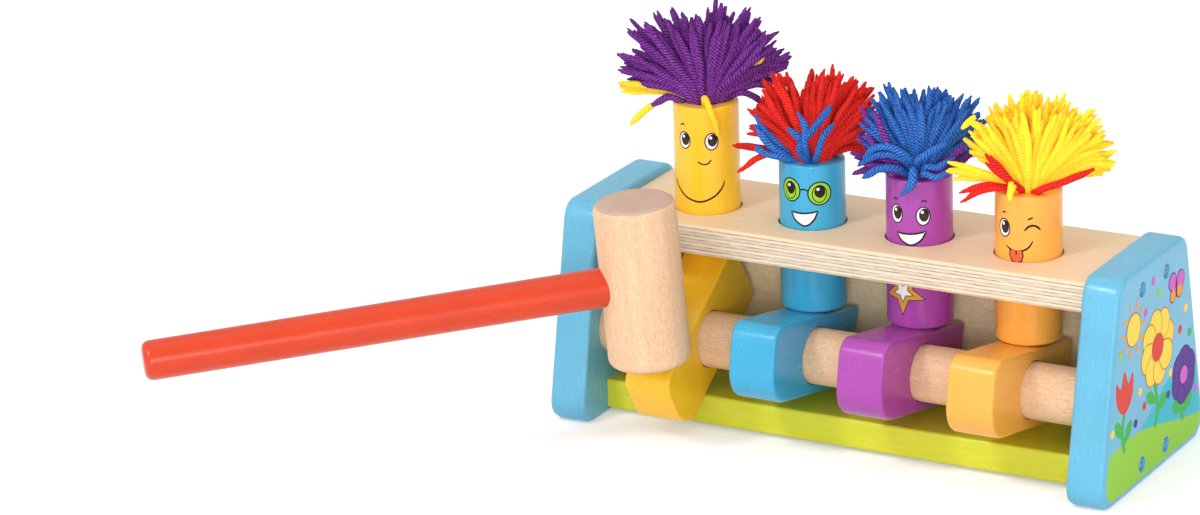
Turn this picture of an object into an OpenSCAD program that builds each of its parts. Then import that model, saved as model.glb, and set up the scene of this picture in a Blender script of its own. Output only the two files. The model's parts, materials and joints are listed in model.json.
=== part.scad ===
// Peg pounding bench: four pegs with yarn hair stand in a plate, each above the tail of a lever.
// The levers share one axle. A knock of the mallet on a lever's nose throws its peg up.
// Origin: middle of the bench, on the underside of the base board. +X runs to the right end,
// +Y to the back and +Z up. Lengths are millimetres and angles are degrees.

/* [End panels] */
// Clear length between the end panels
inner_length = 200; // [190:1:240]
// Thickness of each end panel
panel_t = 15; // [12:0.5:20]
// Depth of an end panel at its foot
panel_foot_depth = 93.5; // [85:0.5:120]
// Depth of an end panel at its top
panel_top_depth = 64.5; // [60:0.5:80]
// Height of the end panels above the plate
panel_rise = 3.1; // [1:0.1:10]
// Height of the base board above the floor
foot_drop = 1.6; // [0.5:0.1:4]
// Corner radius of the end panels
panel_corner_r = 8; // [4:0.5:12]
// Rounding of the end panels' edges
panel_ease = 1.8; // [0.5:0.1:3]

/* [Boards] */
// Thickness of the plate and of the base board
board_t = 11.7; // [10:0.1:15]
// Clear height between the base board and the plate
board_gap = 56.4; // [54:0.1:70]
// Depth of the plate
plate_depth = 57.5; // [57:0.5:75]
// Distance of the base board's front edge behind the plate's front edge
base_setback = 1; // [0:0.1:3]
// Thickness of the back panel
back_t = 9; // [6:0.5:10]
// Distance of the back panel's rear face from the boards' rear edges
back_inset = 1; // [0:0.1:1.5]
// Rounding of the boards' long edges
board_ease = 1.2; // [0.4:0.1:2]

/* [Axle and levers] */
// Diameter of the axle dowel
axle_d = 21.4; // [16:0.1:22]
// Depth of the axle's blind hole in each end panel
axle_seat = 8; // [4:0.5:10]
// Clearance round the axle in its blind holes
axle_seat_clearance = 0.05; // [0.02:0.01:0.2]
// Height of the axle's centre above the base board
axle_height = 21.1; // [20:0.1:23]
// Distance of the axle's centre behind the plate's front edge
axle_setback = 6.5; // [5:0.1:8]
// Width of a lever
lever_w = 18.7; // [14:0.1:24]
// Thickness of a lever
lever_t = 29.8; // [28:0.1:31]
// Length of a lever in front of the axle
nose_reach = 35; // [30:0.5:42]
// Length of a lever behind the axle
tail_reach = 34.5; // [32:0.1:36.5]
// Radius of the upper edge of a lever's nose
nose_top_r = 7; // [4:0.5:9]
// Radius of the lower edge of a lever's nose
nose_low_r = 12; // [6:0.5:14]
// Radius of the edges of a lever's tail
tail_r = 2; // [1:0.1:4]
// Rounding of the edges along a lever's sides
lever_ease = 1; // [0.4:0.1:1.8]
// Clearance round the axle in a lever
lever_clearance = 0.4; // [0.2:0.05:0.6]
// Gap left where a lever meets its stops, its peg or the mallet
touch_gap = 0.12; // [0.05:0.01:0.3]

/* [Pegs and hair] */
// Distance of the outer pegs' centres from the end panels
peg_margin = 33.25; // [31:0.25:34]
// Diameter of a peg
peg_d = 25; // [22:0.5:27]
// Length of a peg
peg_length = 58; // [50:0.5:80]
// Rounding of a peg's ends
peg_ease = 1; // [0.4:0.1:2]
// Distance of the row of pegs behind the plate's front edge
peg_setback = 24.35; // [22:0.05:26]
// Clearance round a peg in its hole
peg_clearance = 0.6; // [0.3:0.05:0.8]
// Diameter of the glued root of a tuft of hair
hair_root_d = 16; // [12:0.5:18]
// Depth of the root in the top of a peg
hair_root_depth = 10; // [6:0.5:15]
// Clearance round the root
hair_root_clearance = 0.05; // [0.02:0.01:0.2]
// Height of a tuft above its peg
hair_height = 37; // [25:0.5:45]
// Reach of the outer tufts towards the ends of the bench
hair_reach = 33; // [24:0.5:36]
// Reach of a tuft towards its neighbour
hair_inner_reach = 24.5; // [18:0.5:26]
// Depth of a tuft in front of its middle
hair_front = 9; // [7:0.5:14]
// Depth of a tuft behind its middle
hair_back = 16; // [10:0.5:22]
// Turn of a tuft's right end towards the back
hair_turn = 30; // [0:1:45]
// Space between neighbouring tufts
hair_space = 0.8; // [0.5:0.1:3]

/* [Screws] */
// Distance between the two screws in a board's end
screw_spacing = 22; // [16:0.5:30]
// Diameter of a screw's shank
screw_d = 3.2; // [2.6:0.1:4]
// Length of a screw's shank
screw_length = 30; // [22:0.5:40]
// Diameter of a screw's head
screw_head_d = 5; // [4.4:0.1:5.5]
// Height of a screw's head
screw_head_h = 2; // [1.6:0.1:2.4]
// Diameter of the recess for a screw's head
screw_recess_d = 5.8; // [5.6:0.1:8]
// Depth of the recess for a screw's head
screw_recess = 3.2; // [2.6:0.1:6]
// Clearance round a screw's shank
screw_clearance = 0.1; // [0.05:0.01:0.3]

/* [Mallet] */
// Diameter of the mallet's head
head_d = 31; // [26:0.5:36]
// Length of the mallet's head
head_length = 64; // [50:0.5:80]
// Rounding of the head's ends
head_ease = 3; // [1:0.1:5]
// Diameter of the handle
handle_d = 15; // [11:0.5:18]
// Length of the handle outside the head
handle_length = 172; // [120:1:200]
// Rounding of the handle's ends
handle_ease = 3; // [1:0.1:5]
// Depth of the handle in the head
handle_seat = 22; // [18:0.5:25]
// Clearance round the handle in the head
handle_clearance = 0.05; // [0.02:0.01:0.2]
// Distance of the head's centre in front of the axle
strike_reach = 36.3; // [32:0.1:38]
// Distance of the head's centre to the right of the struck lever's middle
strike_aside = 2.8; // [-4:0.1:4]
// Turn of the handle towards the front, from straight left
mallet_turn = 40; // [0:1:60]
// Droop of the handle from level
mallet_droop = 4; // [0:0.5:8]

/* [Hidden] */

$fn = 96;
// Facets on rounded blocks, and straight steps in each small rounding
block_fn = 32;
arc_steps = 4;

sky_blue = "#6CBBDD";
lime = "#C3CF35";
bare_wood = "#EBD0AF";
yellow_paint = "#FBC433";
blue_paint = "#3FA8D6";
purple_paint = "#B352B4";
orange_paint = "#FDB255";
handle_paint = "#EF4524";
purple_yarn = "#6F2090";
red_yarn = "#E0262B";
blue_yarn = "#2466C6";
yellow_yarn = "#FBDC2E";
steel = "#B9BCC0";

// Levels and edges of the boards
plate_under = board_t + board_gap;
plate_top = plate_under + board_t;
plate_front = -plate_depth / 2;
boards_rear = plate_depth / 2;
base_front = plate_front + base_setback;
panel_top = plate_top + panel_rise;

// Axle, pegs and levers, named from the left
axle_y = plate_front + axle_setback;
axle_z = board_t + axle_height;
peg_y = plate_front + peg_setback;
peg_spacing = (inner_length - 2 * peg_margin) / 3;
peg_x = [for (i = [0 : 3]) (i - 1.5) * peg_spacing];
half_t = lever_t / 2;

// Tilt at rest: the round lower edge of the tail lies on the base board
tail_u = tail_reach - tail_r;
tail_w = half_t - tail_r;
rest_drop = axle_height - tail_r - touch_gap;
rest_tilt = atan2(tail_w, tail_u) - asin(rest_drop / norm([tail_u, tail_w]));

// Tilt when struck: the underside lies on the round front edge of the base board
edge_y = base_front + board_ease - axle_y;
edge_z = -axle_height - board_ease;
struck_tilt = acos((half_t + board_ease + touch_gap) / norm([edge_y, edge_z])) - atan2(-edge_y, -edge_z);

// Underside of a peg at rest on its sloping lever, and its lift by the tail of a struck lever
peg_r = peg_d / 2;
slope = -rest_tilt;
peg_rest = axle_z - peg_ease + (half_t + touch_gap + peg_ease
    + (peg_r - peg_ease - peg_y + axle_y) * sin(slope)) / cos(slope);
peg_struck = axle_z + tail_u * sin(struck_tilt) + tail_w * cos(struck_tilt) + tail_r + 2 * touch_gap;
peg_lift = peg_struck - peg_rest;

// The mallet's head stands with its rim on the struck lever's upper face
head_r = head_d / 2;
head_axis = [-sin(mallet_droop) * cos(mallet_turn), -sin(mallet_droop) * sin(mallet_turn), cos(mallet_droop)];
face_normal = [0, -sin(struck_tilt), cos(struck_tilt)];
lean = head_axis * face_normal;
rim = (head_r - head_ease) * sqrt(1 - lean * lean) + head_ease * (1 - lean);
strike_y = axle_y - strike_reach;
strike_z = axle_z + (half_t + touch_gap + rim - strike_reach * sin(struck_tilt)) / cos(struck_tilt);
strike_point = [peg_x[0] + strike_aside, strike_y, strike_z];

// Outline of a tuft from its root to its crown: shares of its reach, front, back and height
hair_outline = [
    [0.28, 0.83, 0.47, 0], [0.8, 0.78, 0.47, 0.1], [0.97, 0.78, 0.62, 0.28], [1, 0.83, 0.81, 0.46],
    [0.92, 0.94, 0.97, 0.64], [0.78, 1, 1, 0.8], [0.55, 0.8, 0.72, 0.93]
];
hair_side = peg_spacing / 2 - hair_space / 2;
hair_locks = 11;
lock_share = 0.06;
lock_turn = 14;
hair_fn = 45;

// Values of the joints
echo(lever_travel = struck_tilt - rest_tilt, peg_lift = peg_lift, axle = [axle_y, axle_z]);

// Points of an arc about a centre
function arc(centre, r, from, to) =
    [for (i = [0 : arc_steps]) let (a = from + (to - from) * i / arc_steps) centre + r * [cos(a), sin(a)]];

// Half outline of a round post with eased ends, standing on z = 0
function post_outline(r, h, ease) = concat(
    [[0, 0]],
    arc([r - ease, ease], ease, -90, 0),
    arc([r - ease, h - ease], ease, 0, 90),
    [[0, h]]
);

// Outline of a board's end with eased corners, from front to rear and from bottom to top
function board_outline(front, rear, bottom, top, ease) = concat(
    arc([rear - ease, bottom + ease], ease, -90, 0),
    arc([rear - ease, top - ease], ease, 0, 90),
    arc([front + ease, top - ease], ease, 90, 180),
    arc([front + ease, bottom + ease], ease, 180, 270)
);

module post(r, h, ease) {
    rotate_extrude() polygon(post_outline(r, h, ease));
}

// Turns a drawing in the YZ plane into a solid along X, centred
module along_x(length) {
    translate([-length / 2, 0, 0]) rotate([90, 0, 90]) linear_extrude(length) children();
}

module board(front, rear, bottom, top) {
    along_x(inner_length) polygon(board_outline(front, rear, bottom, top, board_ease));
}

// A round corner of a block across X, with both rims rounded in two steps
module block_corner(r, width, ease) {
    step = ease * (1 - cos(45));
    rotate([0, 90, 0]) {
        cylinder(r = r, h = width - 2 * ease, center = true, $fn = block_fn);
        cylinder(r = r - step, h = width - 2 * step, center = true, $fn = block_fn);
        cylinder(r = r - ease, h = width, center = true, $fn = block_fn);
    }
}

// Places children at the screws of one end, with +X out of the panel's outer face
module at_screws(side, z) {
    for (y = [-1, 1] * screw_spacing / 2)
        translate([side * (inner_length / 2 + panel_t), y, z]) rotate([0, 0, side > 0 ? 0 : 180]) children();
}

// Hole for a screw's shank, from the bottom of its recess inwards
module screw_pilot() {
    translate([-screw_recess - screw_length - screw_clearance, 0, 0])
        rotate([0, 90, 0]) cylinder(d = screw_d + 2 * screw_clearance, h = screw_length + screw_clearance);
}

module screw_hole() {
    screw_pilot();
    translate([-screw_recess, 0, 0]) rotate([0, 90, 0]) cylinder(d = screw_recess_d, h = screw_recess + 1);
}

module screw() {
    slot_w = screw_head_d / 7;
    slot_l = screw_head_d * 0.62;
    difference() {
        translate([-screw_recess, 0, 0]) rotate([0, 90, 0]) {
            post(screw_head_d / 2, screw_head_h, screw_head_h * 0.4);
            translate([0, 0, -screw_length]) cylinder(d = screw_d, h = screw_length + screw_head_h / 2);
        }
        for (turn = [0, 90])
            translate([screw_head_h - screw_recess, 0, 0]) rotate([turn, 0, 0])
                cube([screw_head_h, slot_l, slot_w], center = true);
    }
}

module screw_set(z) {
    for (side = [-1, 1]) at_screws(side, z) screw();
}

module end_panel(side) {
    difference() {
        translate([side * (inner_length + panel_t) / 2, 0, 0]) hull() {
            for (end = [-1, 1]) {
                translate([0, end * (panel_foot_depth / 2 - panel_corner_r), panel_corner_r - foot_drop])
                    block_corner(panel_corner_r, panel_t, panel_ease);
                translate([0, end * (panel_top_depth / 2 - panel_corner_r), panel_top - panel_corner_r])
                    block_corner(panel_corner_r, panel_t, panel_ease);
            }
        }
        translate([side * inner_length / 2, axle_y, axle_z]) rotate([0, 90, 0])
            cylinder(r = axle_d / 2 + axle_seat_clearance, h = 2 * (axle_seat + axle_seat_clearance), center = true);
        for (z = [board_t / 2, plate_top - board_t / 2]) at_screws(side, z) screw_hole();
    }
}

// A lever blank on the axle: a bar with a round nose in front and a square tail behind
module lever(index, tilt) {
    translate([peg_x[index], axle_y, axle_z]) rotate([tilt, 0, 0]) difference() {
        hull() {
            translate([0, -nose_reach + nose_top_r, half_t - nose_top_r])
                block_corner(nose_top_r, lever_w, lever_ease);
            translate([0, -nose_reach + nose_low_r, -half_t + nose_low_r])
                block_corner(nose_low_r, lever_w, lever_ease);
            for (w = [-1, 1]) translate([0, tail_u, w * tail_w]) block_corner(tail_r, lever_w, lever_ease);
        }
        rotate([0, 90, 0]) cylinder(r = axle_d / 2 + lever_clearance, h = lever_w + 2, center = true);
    }
}

// A peg with a socket for its hair, lifted from its place at rest
module peg(index, lift) {
    translate([peg_x[index], peg_y, peg_rest + lift]) difference() {
        post(peg_r, peg_length, peg_ease);
        translate([0, 0, peg_length - hair_root_depth - hair_root_clearance])
            cylinder(d = hair_root_d + 2 * hair_root_clearance, h = hair_root_depth + 1);
    }
}

// A tuft of yarn: a fan of shallow locks over a root in the peg's socket, cut off short of its neighbours
module hair(index, lift) {
    rings = len(hair_outline);
    left = index == 0 ? hair_reach : hair_inner_reach;
    right = index == 3 ? hair_reach : hair_inner_reach;
    low = index == 0 ? -left : -hair_side;
    high = index == 3 ? right : hair_side;
    points = concat(
        [for (k = [0 : rings - 1]) for (j = [0 : hair_fn - 1])
            let (
                row = hair_outline[k],
                a = 360 * j / hair_fn,
                lock = k == 0 ? 1 : 1 + lock_share * cos(hair_locks * a + lock_turn * k),
                u = row[0] * (cos(a) > 0 ? right : left) * cos(a) * lock,
                v = (sin(a) > 0 ? row[2] * hair_back : row[1] * hair_front) * sin(a) * lock,
                x = u * cos(hair_turn) - v * sin(hair_turn)
            )
            [min(max(x, low), high), u * sin(hair_turn) + v * cos(hair_turn), row[3] * hair_height]],
        [[0, 0, hair_height]]
    );
    walls = [for (k = [0 : rings - 2]) for (j = [0 : hair_fn - 1])
        let (a = k * hair_fn + j, b = k * hair_fn + (j + 1) % hair_fn)
        each [[a, a + hair_fn, b + hair_fn], [a, b + hair_fn, b]]];
    crown = [for (j = [0 : hair_fn - 1])
        [(rings - 1) * hair_fn + j, len(points) - 1, (rings - 1) * hair_fn + (j + 1) % hair_fn]];
    translate([peg_x[index], peg_y, peg_rest + lift + peg_length]) {
        polyhedron(points, concat(walls, crown, [[for (j = [0 : hair_fn - 1]) j]]));
        translate([0, 0, -hair_root_depth]) cylinder(d = hair_root_d, h = hair_root_depth + hair_height / 30);
    }
}

// The mallet's own frame: head upright on its lower end, handle to the left
module at_strike() {
    translate(strike_point) rotate([0, -mallet_droop, mallet_turn]) children();
}

module left_end_panel() { color(sky_blue) end_panel(-1); }
module right_end_panel() { color(sky_blue) end_panel(1); }

module top_plate() {
    color(bare_wood) difference() {
        board(plate_front, boards_rear, plate_under, plate_top);
        for (x = peg_x) translate([x, peg_y, plate_under - 1])
            cylinder(r = peg_r + peg_clearance, h = board_t + 2);
        for (side = [-1, 1]) at_screws(side, plate_top - board_t / 2) screw_pilot();
    }
}

module base_board() {
    color(lime) difference() {
        board(base_front, boards_rear, 0, board_t);
        for (side = [-1, 1]) at_screws(side, board_t / 2) screw_pilot();
    }
}

module back_panel() {
    rear = boards_rear - back_inset;
    color(bare_wood) translate([0, rear - back_t / 2, board_t + board_gap / 2])
        cube([inner_length, back_t, board_gap], center = true);
}

module axle_dowel() {
    color(bare_wood) translate([0, axle_y, axle_z]) rotate([0, 90, 0])
        cylinder(d = axle_d, h = inner_length + 2 * axle_seat, center = true);
}

module plate_screws() { color(steel) screw_set(plate_top - board_t / 2); }
module base_screws() { color(steel) screw_set(board_t / 2); }

module yellow_lever() { color(yellow_paint) lever(0, struck_tilt); }
module blue_lever() { color(blue_paint) lever(1, rest_tilt); }
module purple_lever() { color(purple_paint) lever(2, rest_tilt); }
module orange_lever() { color(orange_paint) lever(3, rest_tilt); }

module yellow_peg() { color(yellow_paint) peg(0, peg_lift); }
module blue_peg() { color(blue_paint) peg(1, 0); }
module purple_peg() { color(purple_paint) peg(2, 0); }
module orange_peg() { color(orange_paint) peg(3, 0); }

module yellow_peg_hair() { color(purple_yarn) hair(0, peg_lift); }
module blue_peg_hair() { color(red_yarn) hair(1, 0); }
module purple_peg_hair() { color(blue_yarn) hair(2, 0); }
module orange_peg_hair() { color(yellow_yarn) hair(3, 0); }

module mallet_head() {
    color(bare_wood) at_strike() difference() {
        post(head_r, head_length, head_ease);
        translate([-head_r - 1, 0, head_length / 2]) rotate([0, 90, 0])
            cylinder(r = handle_d / 2 + handle_clearance, h = handle_seat + handle_clearance + 1);
    }
}

module mallet_handle() {
    color(handle_paint) at_strike() translate([-head_r + handle_seat, 0, head_length / 2]) rotate([0, -90, 0])
        post(handle_d / 2, handle_seat + handle_length, handle_ease);
}

left_end_panel();
right_end_panel();
top_plate();
base_board();
back_panel();
axle_dowel();
plate_screws();
base_screws();
yellow_lever();
blue_lever();
purple_lever();
orange_lever();
yellow_peg();
blue_peg();
purple_peg();
orange_peg();
yellow_peg_hair();
blue_peg_hair();
purple_peg_hair();
orange_peg_hair();
mallet_head();
mallet_handle();
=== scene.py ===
"""Peg pounding bench: lacquer, bare wood, printed faces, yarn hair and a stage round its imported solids."""
import json
import math
import random

import bmesh
import bpy
from bpy.props import FloatProperty, FloatVectorProperty, IntProperty, PointerProperty, StringProperty
from mathutils import Matrix, Vector
from mathutils.geometry import tessellate_polygon

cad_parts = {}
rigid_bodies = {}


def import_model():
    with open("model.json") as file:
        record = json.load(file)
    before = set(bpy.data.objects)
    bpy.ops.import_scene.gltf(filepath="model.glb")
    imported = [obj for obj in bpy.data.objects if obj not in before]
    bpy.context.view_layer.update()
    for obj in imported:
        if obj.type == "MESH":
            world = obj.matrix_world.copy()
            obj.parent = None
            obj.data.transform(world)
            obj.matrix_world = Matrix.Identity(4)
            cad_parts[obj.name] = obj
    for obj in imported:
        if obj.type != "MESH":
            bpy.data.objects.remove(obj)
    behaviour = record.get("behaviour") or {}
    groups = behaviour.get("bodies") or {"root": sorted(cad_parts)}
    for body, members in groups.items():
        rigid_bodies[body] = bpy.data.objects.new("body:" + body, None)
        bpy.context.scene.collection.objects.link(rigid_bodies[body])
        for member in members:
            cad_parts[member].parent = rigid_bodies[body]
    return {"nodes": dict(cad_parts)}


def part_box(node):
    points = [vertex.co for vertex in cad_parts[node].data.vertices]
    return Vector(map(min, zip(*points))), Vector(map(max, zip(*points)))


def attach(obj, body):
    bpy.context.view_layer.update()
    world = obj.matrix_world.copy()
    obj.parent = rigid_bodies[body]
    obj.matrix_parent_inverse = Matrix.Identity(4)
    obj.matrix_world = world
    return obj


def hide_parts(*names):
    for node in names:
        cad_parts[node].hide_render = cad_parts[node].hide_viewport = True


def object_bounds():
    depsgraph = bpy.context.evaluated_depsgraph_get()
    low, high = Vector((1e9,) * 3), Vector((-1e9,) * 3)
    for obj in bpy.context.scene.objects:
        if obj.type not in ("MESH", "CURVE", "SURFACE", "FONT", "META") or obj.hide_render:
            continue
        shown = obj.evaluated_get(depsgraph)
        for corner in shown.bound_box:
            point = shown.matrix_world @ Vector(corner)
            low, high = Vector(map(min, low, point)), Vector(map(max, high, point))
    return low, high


bl_info = {
    "name": "Peg Pounding Bench",
    "version": (1, 0, 0),
    "blender": (4, 5, 0),
    "location": "View3D > Sidebar > Bench",
    "description": "Finishes a peg pounding bench: lacquer, bare wood, printed faces, yarn hair and a stage",
    "category": "Object",
}

for leftover in list(bpy.data.objects):
    bpy.data.objects.remove(leftover)
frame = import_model()
CAD_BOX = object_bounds()

MM = 0.001
PEGS = ("yellow_peg", "blue_peg", "purple_peg", "orange_peg")
LEVERS = ("yellow_lever", "blue_lever", "purple_lever", "orange_lever")


class BenchColours(bpy.types.PropertyGroup):
    """Colours of the bench, as sRGB hex values"""

    sky_blue: StringProperty(name="Sky blue", description="Lacquer of the end panels", default="#63B2D3")
    lime: StringProperty(name="Lime", description="Lacquer of the base board", default="#D3D534")
    yellow: StringProperty(name="Yellow", description="Lacquer of the first peg", default="#FFC42A")
    blue: StringProperty(name="Blue", description="Lacquer of the second peg", default="#3AA6D0")
    purple: StringProperty(name="Purple", description="Lacquer of the third peg", default="#A644A6")
    orange: StringProperty(name="Orange", description="Lacquer of the fourth peg", default="#FFAE48")
    red: StringProperty(name="Red", description="Lacquer of the mallet's handle", default="#D23B12")
    beech: StringProperty(name="Beech", description="Bare wood of mallet and axle", default="#E8C4A0")
    # Paler than the mallet's beech: partly the back panel's own pale tone, partly painted light that
    # brightens it where the plate shades it
    pale_beech_and_painted_light: StringProperty(name="Pale beech", description="Wood of the back panel", default="#FFEDCA")
    beech_end: StringProperty(name="Beech end grain", description="Cut ends of bare wood", default="#C6A795")
    birch: StringProperty(name="Birch", description="Face of the plywood plate", default="#F0D2AC")
    birch_core: StringProperty(name="Birch core", description="Cut edges of the plate", default="#E6D6BE")
    birch_seam: StringProperty(name="Birch seam", description="Lines between the plies", default="#987F60")
    zinc: StringProperty(name="Zinc", description="Plating of the screws", default="#E6E8EA")
    yarn_purple: StringProperty(name="Purple yarn", description="Crowns of its plies", default="#A64EC2")
    yarn_red: StringProperty(name="Red yarn", description="Crowns of its plies", default="#FF4030")
    yarn_blue: StringProperty(name="Blue yarn", description="Crowns of its plies", default="#5098E8")
    yarn_yellow: StringProperty(name="Yellow yarn", description="Crowns of its plies", default="#FFF050")
    # The groove colours are painted shade: darker tones laid between the ply crowns of a smooth strand, where
    # the grooves would be shaded
    groove_shade_purple: StringProperty(name="Purple groove", description="Between its plies", default="#2C0844")
    groove_shade_red: StringProperty(name="Red groove", description="Between its plies", default="#C81418")
    groove_shade_blue: StringProperty(name="Blue groove", description="Between its plies", default="#0E3A94")
    groove_shade_yellow: StringProperty(name="Yellow groove", description="Between its plies", default="#F4CC22")
    floor: StringProperty(name="Floor", description="Paper under the bench", default="#F7F7F7")


class YarnSizes(bpy.types.PropertyGroup):
    """Sizes of the yarn"""

    diameter: FloatProperty(
        name="Yarn diameter", description="Thickness of one strand", default=2.8 * MM, unit="LENGTH")
    plies: IntProperty(name="Plies", description="Threads twisted into a strand", default=4)
    lay: FloatProperty(
        name="Lay length", description="Length of one turn of a ply", default=5.2 * MM, unit="LENGTH")
    segment: FloatProperty(
        name="Segment", description="Distance between the rings of a strand", default=1.1 * MM, unit="LENGTH")
    layers: IntProperty(name="Layers", description="Strands of a tuft, one behind another", default=4)


class PrintSizes(bpy.types.PropertyGroup):
    """Sizes of the printed marks"""

    film: FloatProperty(
        name="Ink film", description="Thickness of one layer of ink", default=0.012 * MM, unit="LENGTH")
    sink: FloatProperty(
        name="Ink depth", description="Depth of the film in the lacquer", default=0.03 * MM, unit="LENGTH")
    line: FloatProperty(
        name="Line width", description="Width of the drawn lines", default=0.72 * MM, unit="LENGTH")


class StageSettings(bpy.types.PropertyGroup):
    """Camera and light"""

    azimuth: FloatProperty(
        name="Azimuth", description="Turn of the camera round the bench", default=math.radians(29.625),
        unit="ROTATION")
    elevation: FloatProperty(
        name="Elevation", description="Camera above the horizon", default=math.radians(19.166),
        unit="ROTATION")
    roll: FloatProperty(
        name="Roll", description="Lean of the camera", default=math.radians(-1.851), unit="ROTATION")
    distance: FloatProperty(
        name="Distance", description="From the camera to its aim", default=1.89547, unit="LENGTH")
    aim: FloatVectorProperty(
        name="Aim", description="Point in the middle of the picture", default=(-0.06084, -0.09935, 0.08952),
        unit="LENGTH")
    lens: FloatProperty(name="Lens", description="Focal length on a 36 mm sensor, in mm", default=156.25)
    sky: FloatProperty(name="Sky", description="Strength of the even light from all round", default=0.8)
    key: FloatProperty(name="Key", description="Large lamp at the left", default=4.0, unit="POWER")
    fill: FloatProperty(name="Fill", description="Low lamp at the right", default=4.5, unit="POWER")
    front: FloatProperty(name="Front", description="Lamp by the camera", default=14.5, unit="POWER")
    top: FloatProperty(name="Top", description="Lamp overhead", default=3.0, unit="POWER")
    spark: FloatProperty(name="Spark", description="Small lamp for highlights", default=9.0, unit="POWER")


def linear(hex_value, tone=1.0):
    """Linear RGBA of an sRGB hex colour, made lighter or darker by a tone factor"""
    parts = [int(hex_value[i:i + 2], 16) / 255 for i in (1, 3, 5)]
    flat = [c / 12.92 if c <= 0.04045 else ((c + 0.055) / 1.055) ** 2.4 for c in parts]
    return tuple(min(1.0, c * tone) for c in flat) + (1.0,)


def add(tree, kind, inputs=None, **settings):
    """Adds one node, sets its properties, and fills or links its inputs by name or number

    An input that is given a node is linked to that node's first open output.
    """
    node = tree.nodes.new(kind)
    for key, value in settings.items():
        setattr(node, key, value)
    for key, value in (inputs or {}).items():
        if isinstance(value, bpy.types.Node):
            value = next(output for output in value.outputs if output.enabled)
        if isinstance(value, bpy.types.NodeSocket):
            tree.links.new(value, node.inputs[key])
        else:
            node.inputs[key].default_value = value
    return node


def new_material(name):
    """An empty node material"""
    material = bpy.data.materials.new(name)
    material.use_nodes = True
    material.node_tree.nodes.clear()
    return material, material.node_tree


def two_tones(tree, share, low, high, start=0.3, end=0.7):
    """Colour between two tones as a share goes from start to end"""
    part = add(tree, "ShaderNodeMapRange", {"Value": share, "From Min": start, "From Max": end})
    return add(tree, "ShaderNodeMix", {0: part, 6: low, 7: high}, data_type="RGBA")


def close_material(tree, colour, roughness, height, depth, **constants):
    """Bump, shader and output of a surface; height is a share of depth in metres"""
    bump = add(tree, "ShaderNodeBump", {"Height": height, "Distance": depth, "Strength": 1.0})
    inputs = {"Base Color": colour, "Roughness": roughness, "Normal": bump}
    inputs.update({key.replace("_", " "): value for key, value in constants.items()})
    shader = add(tree, "ShaderNodeBsdfPrincipled", inputs)
    add(tree, "ShaderNodeOutputMaterial", {"Surface": shader})


def satin_lacquer(name, colour, grain_mm, turn=(0.0, 0.0, 0.0)):
    """Sprayed satin lacquer on sanded beech: an even coat, soft highlights and faint streaks of the grain"""
    patch_mm, peel_mm, relief_mm = 22, 0.8, 0.045
    material, tree = new_material(name)
    place = add(tree, "ShaderNodeTexCoord").outputs["Object"]
    # Texture mapping: the scale is the real width and length of a streak
    along = add(tree, "ShaderNodeMapping", {
        "Vector": place, "Rotation": turn, "Scale": tuple(mm * MM for mm in grain_mm)}, vector_type="TEXTURE")
    streaks = add(tree, "ShaderNodeTexNoise", {
        "Vector": along, "Scale": 1.0, "Detail": 4.0, "Roughness": 0.62})
    # The coat is uneven in patches, with a fine orange peel
    patches = add(tree, "ShaderNodeTexNoise", {"Vector": place, "Scale": 1 / (patch_mm * MM), "Detail": 2.0})
    peel = add(tree, "ShaderNodeTexNoise", {"Vector": place, "Scale": 1 / (peel_mm * MM), "Detail": 1.0})
    both = add(tree, "ShaderNodeMath", {0: streaks, 1: patches}, operation="ADD")
    mean = add(tree, "ShaderNodeMath", {0: both, 1: 0.5}, operation="MULTIPLY")
    tinted = two_tones(tree, mean, linear(colour, 0.88), linear(colour, 1.07))
    rough = add(tree, "ShaderNodeMapRange", {
        "Value": both, "From Min": 0.6, "From Max": 1.4, "To Min": 0.2, "To Max": 0.3})
    relief = add(tree, "ShaderNodeMath", {0: streaks, 1: 0.5, 2: peel}, operation="MULTIPLY_ADD")
    close_material(tree, tinted, rough, relief, relief_mm * MM, IOR=1.5, Specular_IOR_Level=0.45)
    return material


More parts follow.
